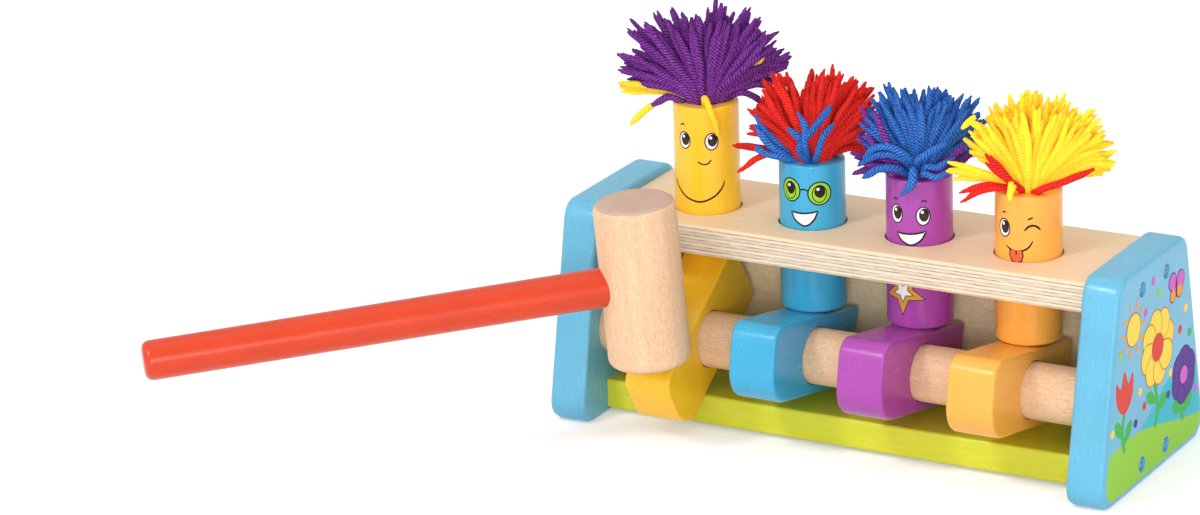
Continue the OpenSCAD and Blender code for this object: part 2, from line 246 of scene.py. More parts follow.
def bare_beech(name, colour, end_colour, turn, centre=(0.0, 0.0, 0.0)):
    """Sanded bare beech: pale, with a fine speckle of rays, soft bands along the grain and greyer cut ends"""
    # Width, thickness and length of each mark
    marks_mm = {"rays": (0.55, 0.55, 1.5), "pores": (0.35, 0.35, 4.0), "bands": (5.0, 6.0, 70.0)}
    relief_mm = 0.03
    material, tree = new_material(name)
    place = add(tree, "ShaderNodeTexCoord").outputs["Object"]
    maps = {}
    for part, size in marks_mm.items():
        maps[part] = add(tree, "ShaderNodeMapping", {
            "Vector": place, "Location": centre, "Rotation": turn, "Scale": tuple(mm * MM for mm in size)},
            vector_type="TEXTURE")
    rays = add(tree, "ShaderNodeTexNoise", {"Vector": maps["rays"], "Scale": 1.0, "Detail": 2.0})
    pores = add(tree, "ShaderNodeTexNoise", {"Vector": maps["pores"], "Scale": 1.0, "Detail": 3.0})
    bands = add(tree, "ShaderNodeTexNoise", {
        "Vector": maps["bands"], "Scale": 1.0, "Detail": 3.0, "Distortion": 0.6})
    base = two_tones(tree, bands, linear(colour, 0.93), linear(colour, 1.05), 0.32, 0.68)
    fleck = two_tones(tree, rays, linear("#EED6BC"), linear("#FFFFFF"), 0.3, 0.58)
    line = two_tones(tree, pores, linear("#F0DECA"), linear("#FFFFFF"), 0.32, 0.5)
    side = add(tree, "ShaderNodeMix", {0: 0.6, 6: base, 7: fleck}, data_type="RGBA", blend_type="MULTIPLY")
    side = add(tree, "ShaderNodeMix", {0: 0.6, 6: side, 7: line}, data_type="RGBA", blend_type="MULTIPLY")
    cut = two_tones(tree, bands, linear(end_colour, 0.94), linear(end_colour, 1.05))
    cut = add(tree, "ShaderNodeMix", {0: 0.7, 6: cut, 7: line}, data_type="RGBA", blend_type="MULTIPLY")
    end = add(tree, "ShaderNodeAttribute", attribute_name="end_grain").outputs["Fac"]
    tinted = add(tree, "ShaderNodeMix", {0: end, 6: side, 7: cut}, data_type="RGBA")
    rough = add(tree, "ShaderNodeMapRange", {
        "Value": pores, "From Min": 0.3, "From Max": 0.7, "To Min": 0.58, "To Max": 0.46})
    close_material(tree, tinted, rough, pores, relief_mm * MM, IOR=1.45)
    return material


def birch_plywood(name, face, core, seam, under, top):
    """Sanded birch plywood: plain tan faces, cream cut edges and thin broken brown lines between plies"""
    ply_mm, seam_mm, veneer_mm, first_mm, relief_mm = 1.34, 0.42, 0.7, 0.9, 0.03
    wander_mm, seam_run_mm, streak_mm, grain_mm = 18, (6, 6, 0.7), (3, 3, 0.3), (30, 1.4, 1.4)
    material, tree = new_material(name)
    place = add(tree, "ShaderNodeTexCoord").outputs["Object"]
    height = add(tree, "ShaderNodeSeparateXYZ", {"Vector": place}).outputs["Z"]
    # The plies wander by about a tenth of a millimetre
    wander = add(tree, "ShaderNodeTexNoise", {"Vector": place, "Scale": 1 / (wander_mm * MM), "Detail": 2.0})
    lifted = add(tree, "ShaderNodeMath", {0: wander, 1: 0.3 * MM, 2: height}, operation="MULTIPLY_ADD")
    level = add(tree, "ShaderNodeMath", {0: lifted, 1: under + first_mm * MM}, operation="SUBTRACT")
    count = add(tree, "ShaderNodeMath", {0: level, 1: ply_mm * MM}, operation="DIVIDE")
    part = add(tree, "ShaderNodeMath", {0: count}, operation="FRACT")
    ply = add(tree, "ShaderNodeMath", {0: count}, operation="FLOOR")
    odd = add(tree, "ShaderNodeMath", {0: ply, 1: 2.0}, operation="MODULO")
    at_seam = add(tree, "ShaderNodeMath", {0: part, 1: seam_mm / ply_mm}, operation="LESS_THAN")
    # A seam is dark for one run and faint for the next, and the cut fibres leave short streaks
    run = add(tree, "ShaderNodeMapping", {
        "Vector": place, "Scale": tuple(mm * MM for mm in seam_run_mm)}, vector_type="TEXTURE")
    broken = add(tree, "ShaderNodeTexNoise", {"Vector": run, "Scale": 1.0, "Detail": 3.0})
    dark = add(tree, "ShaderNodeMapRange", {
        "Value": broken, "From Min": 0.34, "From Max": 0.62, "To Min": 0.12, "To Max": 0.82})
    dark = add(tree, "ShaderNodeMath", {0: dark, 1: at_seam}, operation="MULTIPLY")
    streak_map = add(tree, "ShaderNodeMapping", {
        "Vector": place, "Scale": tuple(mm * MM for mm in streak_mm)}, vector_type="TEXTURE")
    streaks = add(tree, "ShaderNodeTexNoise", {"Vector": streak_map, "Scale": 1.0, "Detail": 3.0})
    long_ply = two_tones(tree, streaks, linear(core, 0.93), linear(core, 1.05))
    cross_ply = two_tones(tree, streaks, linear(core, 0.72), linear(core, 0.98))
    edge = add(tree, "ShaderNodeMix", {0: odd, 6: long_ply, 7: cross_ply}, data_type="RGBA")
    edge = add(tree, "ShaderNodeMix", {0: dark, 6: edge, 7: linear(seam)}, data_type="RGBA")
    grain_map = add(tree, "ShaderNodeMapping", {
        "Vector": place, "Scale": tuple(mm * MM for mm in grain_mm)}, vector_type="TEXTURE")
    grain = add(tree, "ShaderNodeTexNoise", {
        "Vector": grain_map, "Scale": 1.0, "Detail": 4.0, "Roughness": 0.6, "Distortion": 0.3})
    veneer = two_tones(tree, grain, linear(face, 0.94), linear(face, 1.04))
    above = add(tree, "ShaderNodeMath", {0: height, 1: top - veneer_mm * MM}, operation="GREATER_THAN")
    below = add(tree, "ShaderNodeMath", {0: height, 1: under + veneer_mm * MM}, operation="LESS_THAN")
    outer = add(tree, "ShaderNodeMath", {0: above, 1: below}, operation="MAXIMUM")
    tinted = add(tree, "ShaderNodeMix", {0: outer, 6: edge, 7: veneer}, data_type="RGBA")
    rough = add(tree, "ShaderNodeMapRange", {"Value": grain, "To Min": 0.6, "To Max": 0.48})
    close_material(tree, tinted, rough, grain, relief_mm * MM, IOR=1.45)
    return material


def zinc_steel(name, colour):
    """Zinc-plated steel: a grey metal with a faint crystalline mottle"""
    mottle_mm, relief_mm = 0.6, 0.01
    material, tree = new_material(name)
    place = add(tree, "ShaderNodeTexCoord").outputs["Object"]
    mottle = add(tree, "ShaderNodeTexNoise", {"Vector": place, "Scale": 1 / (mottle_mm * MM), "Detail": 3.0})
    tinted = two_tones(tree, mottle, linear(colour, 0.8), linear(colour, 1.05))
    rough = add(tree, "ShaderNodeMapRange", {"Value": mottle, "To Min": 0.38, "To Max": 0.55})
    close_material(tree, tinted, rough, mottle, relief_mm * MM, Metallic=1.0)
    return material


def plied_yarn(name, crown, groove_shade, passed, plies, lay):
    """Acrylic yarn: twisted plies painted on a smooth strand, pale crowns and painted shade in the grooves
    between them, in a soft strand that passes light on
    """
    fibre_mm, relief_mm = 0.9, 0.16
    material, tree = new_material(name)
    along = add(tree, "ShaderNodeAttribute", attribute_name="along").outputs["Fac"]
    rim = add(tree, "ShaderNodeAttribute", attribute_name="rim").outputs["Vector"]
    shade = add(tree, "ShaderNodeAttribute", attribute_name="shade").outputs["Fac"]
    sides = add(tree, "ShaderNodeSeparateXYZ", {"Vector": rim}).outputs
    angle = add(tree, "ShaderNodeMath", {0: sides["Y"], 1: sides["X"]}, operation="ARCTAN2")
    turned = add(tree, "ShaderNodeMath", {0: along, 1: 2 * math.pi / lay, 2: angle}, operation="MULTIPLY_ADD")
    # The fibres are coarser than real ones, about 0.35 mm across, so that they show
    length = add(tree, "ShaderNodeMath", {0: along, 1: 1 / (fibre_mm * MM)}, operation="MULTIPLY")
    length = add(tree, "ShaderNodeMath", {0: shade, 1: 91.0, 2: length}, operation="MULTIPLY_ADD")
    across = add(tree, "ShaderNodeVectorMath", {0: rim, "Scale": 4.0}, operation="SCALE")
    lift = add(tree, "ShaderNodeCombineXYZ", {"Z": length})
    spot = add(tree, "ShaderNodeVectorMath", {0: across, 1: lift}, operation="ADD")
    fibres = add(tree, "ShaderNodeTexNoise", {"Vector": spot, "Scale": 1.0, "Detail": 3.0, "Roughness": 0.7})
    phase = add(tree, "ShaderNodeMath", {0: turned, 1: float(plies)}, operation="MULTIPLY")
    phase = add(tree, "ShaderNodeMath", {0: fibres, 1: 3.4, 2: phase}, operation="MULTIPLY_ADD")
    wave = add(tree, "ShaderNodeMath", {0: phase}, operation="COSINE")
    # The plies' mark fades in and out over some 1.6 mm
    gaps = add(tree, "ShaderNodeTexNoise", {"Vector": spot, "Scale": 0.55, "Detail": 1.0})
    gaps = add(tree, "ShaderNodeMapRange", {
        "Value": gaps, "From Min": 0.38, "From Max": 0.62, "To Min": 0.15, "To Max": 1.3})
    wave = add(tree, "ShaderNodeMath", {0: wave, 1: gaps}, operation="MULTIPLY")
    ridge = add(tree, "ShaderNodeMath", {0: wave, 1: 0.25, 2: fibres}, operation="MULTIPLY_ADD")
    # Painted shade: between the ply crowns the yarn takes its groove colour, a darker tone that stands in for
    # the shade in the grooves
    tinted = two_tones(tree, ridge, linear(groove_shade), linear(crown), 0.26, 0.84)
    strand = two_tones(tree, shade, linear("#E6E2E8"), linear("#FFFFFF"), 0.0, 1.0)
    tinted = add(tree, "ShaderNodeMix", {0: 1.0, 6: tinted, 7: strand},
                 data_type="RGBA", blend_type="MULTIPLY")
    rough = add(tree, "ShaderNodeMapRange", {"Value": fibres, "To Min": 0.95, "To Max": 0.75})
    bump = add(tree, "ShaderNodeBump", {"Height": ridge, "Distance": relief_mm * MM, "Strength": 1.0})
    soft = add(tree, "ShaderNodeBsdfPrincipled", {
        "Base Color": tinted, "Roughness": rough, "Normal": bump, "Sheen Weight": 0.15, "Sheen Tint": tinted,
        "Specular IOR Level": 0.15})
    # Light that the loose fibres hand on to one another comes on top of what the strand's skin gives back
    dimmed = add(tree, "ShaderNodeMix", {0: passed, 6: (0.0, 0.0, 0.0, 1.0), 7: tinted}, data_type="RGBA")
    inner = add(tree, "ShaderNodeBsdfTranslucent", {"Color": dimmed})
    both = add(tree, "ShaderNodeAddShader", {0: soft, 1: inner})
    add(tree, "ShaderNodeOutputMaterial", {"Surface": both})
    return material


def screen_ink(name, colour):
    """Screen-printed ink: a thin satin film whose tone and gloss vary a little with the screen's mesh"""
    mesh_mm, relief_mm = 0.5, 0.01
    material, tree = new_material(name)
    place = add(tree, "ShaderNodeTexCoord").outputs["Object"]
    marks = add(tree, "ShaderNodeTexNoise", {"Vector": place, "Scale": 1 / (mesh_mm * MM), "Detail": 2.0})
    tinted = two_tones(tree, marks, linear(colour, 0.92), linear(colour, 1.05))
    rough = add(tree, "ShaderNodeMapRange", {"Value": marks, "To Min": 0.42, "To Max": 0.56})
    close_material(tree, tinted, rough, marks, relief_mm * MM, IOR=1.5, Specular_IOR_Level=0.2)
    return material


def studio_paper(name, colour):
    """Matt white paper, a little brighter to the camera than its own shade, with the shadow kept"""
    cloud_mm, glow_share = 30, 0.16
    material, tree = new_material(name)
    place = add(tree, "ShaderNodeTexCoord").outputs["Object"]
    fibre = add(tree, "ShaderNodeTexNoise", {"Vector": place, "Scale": 1 / (cloud_mm * MM), "Detail": 2.0})
    tinted = two_tones(tree, fibre, linear(colour, 0.99), linear(colour, 1.01))
    matt = add(tree, "ShaderNodeBsdfDiffuse", {"Color": tinted, "Roughness": 0.5})
    rays = add(tree, "ShaderNodeLightPath").outputs
    seen = add(tree, "ShaderNodeMath", {0: rays["Is Camera Ray"], 1: rays["Is Glossy Ray"]}, operation="ADD")
    lift = add(tree, "ShaderNodeMath", {0: seen, 1: glow_share}, operation="MULTIPLY")
    glow = add(tree, "ShaderNodeEmission", {"Color": linear("#FFFFFF"), "Strength": lift})
    total = add(tree, "ShaderNodeAddShader", {0: matt, 1: glow})
    add(tree, "ShaderNodeOutputMaterial", {"Surface": total})
    return material


def new_object(name, mesh):
    """An object at the origin, in the scene"""
    piece = bpy.data.objects.new(name, mesh)
    bpy.context.scene.collection.objects.link(piece)
    return piece


def settle(piece):
    """Turns a piece's evaluated shape into its plain mesh and drops its modifiers"""
    bpy.context.view_layer.update()
    graph = bpy.context.evaluated_depsgraph_get()
    mesh = bpy.data.meshes.new_from_object(
        piece.evaluated_get(graph), preserve_all_data_layers=True, depsgraph=graph)
    piece.modifiers.clear()
    piece.data = mesh
    mesh.name = piece.name
    return piece


def soft_edged(node, name, material, body, end_axis=None):
    """A copy of a CAD node with its small roundings shaded round; end_axis marks faces across the grain"""
    weld, sharp, across_grain = 0.002 * MM, math.radians(50), 0.8
    mesh = frame["nodes"][node].data.copy()
    for extra in ("custom_normal", "sharp_face", "sharp_edge"):
        if extra in mesh.attributes:
            mesh.attributes.remove(mesh.attributes[extra])
    form = bmesh.new()
    form.from_mesh(mesh)
    bmesh.ops.remove_doubles(form, verts=form.verts, dist=weld)
    for face in form.faces:
        face.smooth = True
        face.material_index = 0
    for edge in form.edges:
        edge.smooth = len(edge.link_faces) == 2 and edge.calc_face_angle(0.0) < sharp
    form.to_mesh(mesh)
    form.free()
    mesh.materials.clear()
    mesh.materials.append(material)
    if end_axis is not None:
        axis = Vector(end_axis).normalized()
        ends = mesh.attributes.new("end_grain", "FLOAT", "FACE")
        cuts = [float(abs(face.normal.dot(axis)) > across_grain) for face in mesh.polygons]
        ends.data.foreach_set("value", cuts)
    piece = new_object(name, mesh)
    flats = piece.modifiers.new("flats", "WEIGHTED_NORMAL")
    flats.keep_sharp, flats.weight = True, 80
    settle(piece)
    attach(piece, body)
    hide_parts(node)
    return piece


# Printing: flat shapes in millimetres, made into thin films on a surface

def oval(x, z, half_x, half_z, count=44):
    """Closed loop of an oval"""
    return [(x + half_x * math.cos(a), z + half_z * math.sin(a)) for a in
            (2 * math.pi * i / count for i in range(count))]


def smooth_path(points, steps=8):
    """Points of a smooth curve through the given ones"""
    ends = [points[0], *points, points[-1]]
    path = []
    for a, b, c, d in zip(ends, ends[1:], ends[2:], ends[3:]):
        for i in range(steps):
            t = i / steps
            path.append(tuple(
                0.5 * (2 * q + (r - p) * t + (2 * p - 5 * q + 4 * r - s) * t * t
                       + (3 * q - p - 3 * r + s) * t ** 3)
                for p, q, r, s in zip(a, b, c, d)))
    return path + [tuple(points[-1])]


def smooth_loop(points, steps=4):
    """Closed smooth curve through points"""
    path = smooth_path(points[-2:] + points + points[:2], steps)
    return path[2 * steps:(2 + len(points)) * steps]


def stroke(points, width, thin_ends=0.55):
    """Closed loop round a smooth pen line that thins a little at its ends"""
    path = smooth_path(points)
    left, right = [], []
    for i, (x, z) in enumerate(path):
        ahead, behind = path[min(i + 1, len(path) - 1)], path[max(i - 1, 0)]
        dx, dz = ahead[0] - behind[0], ahead[1] - behind[1]
        size = math.hypot(dx, dz)
        share = i / (len(path) - 1)
        half = width / 2 * (thin_ends + (1 - thin_ends) * min(1.0, 5 * min(share, 1 - share)))
        left.append((x - dz / size * half, z + dx / size * half))
        right.append((x + dz / size * half, z - dx / size * half))
    return left + right[::-1]


def grown(loop, by):
    """A loop moved outwards by a distance, for a drawn outline; its points run anticlockwise"""
    out = []
    for i, (x, z) in enumerate(loop):
        ahead, behind = loop[(i + 1) % len(loop)], loop[i - 1]
        dx, dz = ahead[0] - behind[0], ahead[1] - behind[1]
        size = math.hypot(dx, dz) or 1.0
        out.append((x + dz / size * by, z - dx / size * by))
    return out


def clipped(loop, outline):
    """The part of a loop inside a convex outline that runs anticlockwise"""
    for (ax, az), (bx, bz) in zip(outline, outline[1:] + outline[:1]):
        kept = []
        for (px, pz), (qx, qz) in zip(loop, loop[1:] + loop[:1]):
            p_in = (bx - ax) * (pz - az) - (bz - az) * (px - ax)
            q_in = (bx - ax) * (qz - az) - (bz - az) * (qx - ax)
            if p_in >= 0:
                kept.append((px, pz))
            if p_in * q_in < 0:
                t = p_in / (p_in - q_in)
                kept.append((px + t * (qx - px), pz + t * (qz - pz)))
        loop = kept
        if not loop:
            break
    return loop


def rounded(corners, radius, steps=5):
    """A convex outline with rounded corners"""
    loop = []
    for i, corner in enumerate(corners):
        here = Vector(corner)
        into = (Vector(corners[i - 1]) - here).normalized()
        away = (Vector(corners[(i + 1) % len(corners)]) - here).normalized()
        half = math.acos(max(-1.0, min(1.0, into.dot(away)))) / 2
        centre = here + (into + away).normalized() * radius / math.sin(half)
        first, last = here + into * radius / math.tan(half), here + away * radius / math.tan(half)
        start, end = math.atan2(*(first - centre).yx), math.atan2(*(last - centre).yx)
        if end < start:
            end += 2 * math.pi
        for k in range(steps + 1):
            angle = start + (end - start) * k / steps
            loop.append((centre.x + radius * math.cos(angle), centre.y + radius * math.sin(angle)))
    return loop


def printed(name, shapes, inks, place, film, sink, slice_mm=None):
    """Thin closed films of ink: shapes are (ink, layer, loops) in mm, place sets (x, z, height) in space"""
    # Each shape is a little higher than the one before, so that no two tops are level
    step_mm, least_mm, crease = 0.001, 0.0005, math.radians(30)
    total = bmesh.new()
    for order, (ink, layer, loops) in enumerate(shapes):
        part = bmesh.new()
        loops = [[Vector((x, z, 0.0)) for x, z in loop] for loop in loops]
        corners = [part.verts.new(v) for loop in loops for v in loop]
        for a, b, c in tessellate_polygon(loops):
            if len({a, b, c}) == 3:
                part.faces.new((corners[a], corners[b], corners[c]))
        bmesh.ops.dissolve_degenerate(part, dist=least_mm, edges=part.edges)
        if slice_mm:
            across = [v.co.x for v in part.verts]
            for k in range(math.ceil(min(across) / slice_mm), math.floor(max(across) / slice_mm) + 1):
                bmesh.ops.bisect_plane(part, geom=part.verts[:] + part.edges[:] + part.faces[:],
                                       plane_co=(k * slice_mm, 0, 0), plane_no=(1, 0, 0))
        lifted = bmesh.ops.extrude_face_region(part, geom=part.faces[:], use_keep_orig=True)["geom"]
        lifted = {v for v in lifted if isinstance(v, bmesh.types.BMVert)}
        for v in part.verts:
            v.co.z = layer * film / MM + step_mm * order if v in lifted else -sink / MM
        bmesh.ops.recalc_face_normals(part, faces=part.faces)
        moved = {}
        for v in part.verts:
            moved[v] = total.verts.new(place(*v.co))
        for face in part.faces:
            new = total.faces.new([moved[v] for v in face.verts])
            new.material_index, new.smooth = ink, True
        part.free()
    total.normal_update()
    for edge in total.edges:
        edge.smooth = edge.calc_face_angle(0.0) < crease
    mesh = bpy.data.meshes.new(name)
    total.to_mesh(mesh)
    total.free()
    for material in inks:
        mesh.materials.append(material)
    return new_object(name, mesh)


# Inks of the faces, by number and in the same order by colour
INK, WHITE, GREEN, CORAL, GOLD, BROWN = range(6)
FACE_INKS = {
    "black": "#231815", "white": "#F3F1F6", "lens_green": "#96CB38", "coral": "#F2643C", "gold": "#D39A38",
    "eye_brown": "#3C2A22"}


def open_eye(x, z, half_x, half_z):
    """A printed oval eye: dark outline, white, brown pupil and a highlight"""
    rim = 0.5
    pupil_x, pupil_z = x + 0.35, z + 0.45
    return [
        (INK, 1, [oval(x, z, half_x, half_z)]),
        (WHITE, 2, [oval(x, z, half_x - rim, half_z - rim)]),
        (INK, 3, [oval(pupil_x, pupil_z, half_x * 0.66, half_z * 0.68)]),
        (BROWN, 4, [oval(pupil_x + 0.1, pupil_z - half_z * 0.2, half_x * 0.4, half_z * 0.36)]),
        (WHITE, 5, [oval(pupil_x - half_x * 0.24, pupil_z + half_z * 0.3, half_x * 0.2, half_z * 0.17)]),
    ]


def lens_eye(x, z, half_x, half_z):
    """A round green lens with a rim, an inner ring and a pupil"""
    rim, ring = 0.55, 0.4
    in_x, in_z = x - 0.1, z - 0.15
    return [
        (INK, 1, [oval(x, z, half_x, half_z)]),
        (GREEN, 2, [oval(x, z, half_x - rim, half_z - rim)]),
        (INK, 3, [oval(in_x, in_z, half_x * 0.62, half_z * 0.74)]),
        (GREEN, 4, [oval(in_x, in_z, half_x * 0.62 - ring, half_z * 0.74 - ring)]),
        (INK, 5, [oval(in_x + 0.15, in_z + half_z * 0.18, half_x * 0.44, half_z * 0.5)]),
        (WHITE, 6, [oval(in_x - half_x * 0.12, in_z + half_z * 0.4, half_x * 0.13, half_z * 0.12)]),
    ]


def open_mouth(left, right, bottom, line):
    """A printed open smile, from its two corners and its lowest point"""
    (lx, lz), (rx, rz), (bx, bz) = left, right, bottom
    dip = 0.5
    upper = smooth_path([(rx, rz), ((lx + rx) / 2, (lz + rz) / 2 - dip), (lx, lz)])
    width = rx - lx
    lower = smooth_path([(lx, lz), (lx + 0.16 * width, lz + 0.62 * (bz - lz)), (bx, bz),
                         (rx - 0.16 * width, rz + 0.62 * (bz - rz)), (rx, rz)])
    loop = upper[:-1] + lower[:-1]
    return [(INK, 1, [grown(loop, line / 2)]), (WHITE, 2, [grown(loop, -line / 2)])]


def star(x, z, radius, inner, turn):
    """Closed loop of a five-pointed star"""
    loop = []
    for i in range(10):
        reach = radius if i % 2 == 0 else radius * inner
        angle = turn + i * math.pi / 5
        loop.append((x + reach * math.cos(angle), z + reach * math.sin(angle)))
    return loop


def face_shapes(line):
    """The four printed faces: arc length from the peg's front and height from its top, in mm"""
    star_at, down = (-1.2, -43.3), -math.pi / 2
    thin = line * 0.8
    return {
        "yellow_peg": [
            *open_eye(-2.9, -13.0, 2.75, 3.5), *open_eye(8.0, -13.0, 2.75, 3.5),
            (INK, 1, [stroke([(-4.7, -7.4), (-3.7, -6.6), (-2.7, -7.1)], thin)]),
            (INK, 1, [stroke([(2.6, -20.9), (4.4, -21.9), (6.4, -21.6), (7.7, -20.1)], thin, 0.9)]),
            (INK, 1, [stroke([(-8.7, -29.6), (-6.6, -32.6), (-2.2, -35.7), (3.2, -36.8), (8.2, -35.0),
                              (11.6, -31.9), (12.9, -29.0)], line)]),
        ],
        "blue_peg": [
            *lens_eye(-2.8, -9.7, 4.2, 4.75), *lens_eye(8.7, -10.7, 4.75, 4.75),
            (INK, 1, [stroke([(1.2, -9.4), (2.7, -9.0), (4.1, -9.6)], thin, 1.0)]),
            *open_mouth((-2.5, -18.3), (7.8, -17.7), (2.9, -23.4), line),
        ],
        "purple_peg": [
            *open_eye(-3.5, -13.2, 2.75, 3.75), *open_eye(7.0, -13.4, 2.85, 3.75),
            (INK, 1, [stroke([(-5.0, -8.0), (-4.0, -7.2), (-2.9, -7.7)], thin)]),
            (INK, 1, [stroke([(6.2, -8.0), (7.4, -7.3), (8.5, -8.1)], thin)]),
            *open_mouth((-3.3, -20.5), (7.9, -19.5), (2.3, -24.8), line),
            (INK, 1, [star(*star_at, 9.6, 0.44, down)]), (GOLD, 2, [star(*star_at, 8.8, 0.44, down)]),
            (INK, 3, [star(*star_at, 4.7, 0.46, down)]), (WHITE, 4, [star(*star_at, 4.0, 0.46, down)]),
        ],
        "orange_peg": [
            *open_eye(-4.5, -12.7, 2.8, 3.65),
            (INK, 1, [stroke([(-5.4, -7.2), (-4.6, -6.5), (-3.7, -6.9)], thin)]),
            (INK, 1, [stroke([(5.0, -8.6), (6.9, -7.8)], line * 0.9, 0.8)]),
            (INK, 1, [stroke([(3.8, -12.9), (5.2, -11.4), (6.9, -10.9), (8.5, -11.5), (9.7, -12.7)],
                             line * 1.15)]),
            (INK, 1, [stroke([(-3.6, -19.4), (-1.2, -20.7), (2.0, -20.9), (5.0, -19.6), (6.9, -16.9)],
                             line)]),
            (INK, 1, [[(-2.1, -20.6), (-2.3, -22.8), (-1.3, -25.0), (0.8, -26.0), (2.8, -25.0),
                       (3.5, -22.8), (3.2, -20.6)]]),
            (CORAL, 2, [[(-1.6, -20.7), (-1.8, -22.8), (-0.9, -24.6), (0.8, -25.4), (2.4, -24.6),
                         (3.0, -22.8), (2.7, -20.7)]]),
            (INK, 3, [stroke([(0.6, -20.8), (0.7, -22.4)], thin)]),
        ],
    }


# Inks of the end panels' print, by number and in the same order by colour
LEAF, MEADOW, LAGOON, SUN, AMBER, TULIP, VIOLET, PINK, RUST, INDIGO = range(10)
PANEL_INKS = {
    "leaf_green": "#3DB24A", "meadow_green": "#97CB3C", "lagoon": "#3DB8CB", "sun_yellow": "#FCD548",
    "amber": "#F7992E", "tulip_red": "#DE3A30", "violet": "#5A2A90", "pink": "#D45FC6", "rust": "#B4501C",
    "indigo": "#2C1A6A"}


def petal(x, z, turn, reach, width):
    """Closed loop of a rounded petal that grows from a point"""
    one_side = [(0.3, -0.34), (0.62, -0.5), (0.88, -0.36)]
    shape = [(0, 0), *one_side, (1, 0), *[(p, -q) for p, q in one_side[::-1]]]
    c, s = math.cos(turn), math.sin(turn)
    return smooth_loop([
        (x + reach * p * c - width * q * s, z + reach * p * s + width * q * c) for p, q in shape])


def flower(x, z, reach, count, petals, eye, line, turn):
    """A flower of outlined petals round an eye"""
    edge, ring, rim = 0.4, reach * 0.36, 0.45
    shapes = []
    width = 2 * reach * math.sin(math.pi / count) * 0.98
    for i in range(count):
        loop = petal(x, z, turn + 2 * math.pi * i / count, reach, width)
        shapes += [(line, 3 + i / 3, [grown(loop, edge)]), (petals, 3.15 + i / 3, [loop])]
    return shapes + [(line, 7, [oval(x, z, ring, ring)]), (eye, 8, [oval(x, z, ring - rim, ring - rim)])]


def panel_print_shapes(outline, screws):
    """A meadow under a sun, in mm: x to the right seen from outside, z from the base board's underside"""
    edge, cup_edge, dot_r = 0.4, 0.45, 1.6
    span = [-50 + 2.5 * i for i in range(41)]
    far_hill = [(x, 25 + 8 * math.cos((x - 26) / 17)) for x in span]
    near_hill = [(x, 14 + 6 * math.cos((x + 24) / 24)) for x in span]
    holes = [oval(x, z, r, r, 28)[::-1] for x, z, r in screws]
    shapes = [
        (LAGOON, 1, [clipped(far_hill[::-1] + [(x, z - 3) for x, z in near_hill], outline)]),
        (MEADOW, 2, [clipped(near_hill[::-1] + [(-50, -10), (50, -10)], outline), *holes]),
    ]
    stems = (
        [(1, 16), (3, 24), (1, 34), (3, 44)],
        [(-27, 16), (-29, 24), (-27, 33)],
        [(27, 10), (26, 16), (27, 24)])
    for stem in stems:
        shapes.append((LEAF, 3, [stroke(stem, 2.4, 0.9)]))
    leaves = ((2, 22, 0.4), (2, 26, 2.6), (-28.4, 22, 2.3), (-28, 19, 0.8), (26.2, 13, 0.5), (26.2, 14, 2.6))
    for x, z, turn in leaves:
        shapes.append((LEAF, 3, [petal(x, z, turn, 10.5, 4.8)]))
    shapes += flower(3, 47, 15.0, 8, SUN, TULIP, RUST, 0.2)
    shapes += flower(27.5, 28, 11.0, 6, VIOLET, PINK, INDIGO, 0.4)
    cup = smooth_loop([
        (-27, 31), (-33.6, 36), (-34.4, 45), (-30.4, 41.6), (-27, 47.5), (-23.6, 41.6), (-19.6, 45),
        (-20.4, 36)])
    shapes += [(RUST, 4, [grown(cup, cup_edge)]), (TULIP, 5, [cup])]
    sun_x, sun_z, sun_r, disc_r = -19, 61, 6.5, 6.05
    shapes.append((RUST, 3, [oval(sun_x, sun_z, sun_r, sun_r)]))
    shapes.append((SUN, 4, [oval(sun_x, sun_z, disc_r, disc_r)]))
    for i in range(10):
        turn = 2 * math.pi * i / 10
        ray = [(sun_x + r * math.cos(turn), sun_z + r * math.sin(turn)) for r in (7.6, 10.4)]
        shapes.append((AMBER, 3, [stroke(ray, 1.6, 0.8)]))
    # A butterfly of four petals
    wings = ((0.55, 8.0, PINK), (2.35, 8.0, PINK), (-0.5, 6.0, AMBER), (-2.5, 6.0, AMBER))
    for turn, reach, ink in wings:
        wing = petal(20, 64.5, turn, reach, reach * 0.8)
        shapes += [(INDIGO, 3, [grown(wing, edge)]), (ink, 4, [wing])]
    shapes.append((INDIGO, 5, [oval(20, 64.7, 0.9, 3.6)]))
    dots = (
        (-8, 64, PINK), (-13, 35, SUN), (-9, 28, TULIP), (15, 33, SUN), (24, 47, TULIP), (29, 54, SUN),
        (-31, 55, MEADOW), (-38, 27, SUN), (39, 19, PINK), (4, 68, MEADOW), (13, 25, VIOLET),
        (-17, 24, VIOLET), (33, 43, LEAF), (-1, 74, PINK))
    for x, z, ink in dots:
        shapes.append((ink, 4, [oval(x, z, dot_r, dot_r, 20)]))
    return shapes


# Hair: a tuft is a fan of clumps, each (lean in degrees, + to the right; length in mm; strands side by side),
# with single strays as (accent colour or not, points). A point is (turn from the front in degrees, radius,
# height), in mm about the top of the peg. Left and right are the room in mm that the neighbours leave.
# The fan is turned about the peg's axis, so that neighbours pass one another

FAN_TURN = math.radians(120.0)

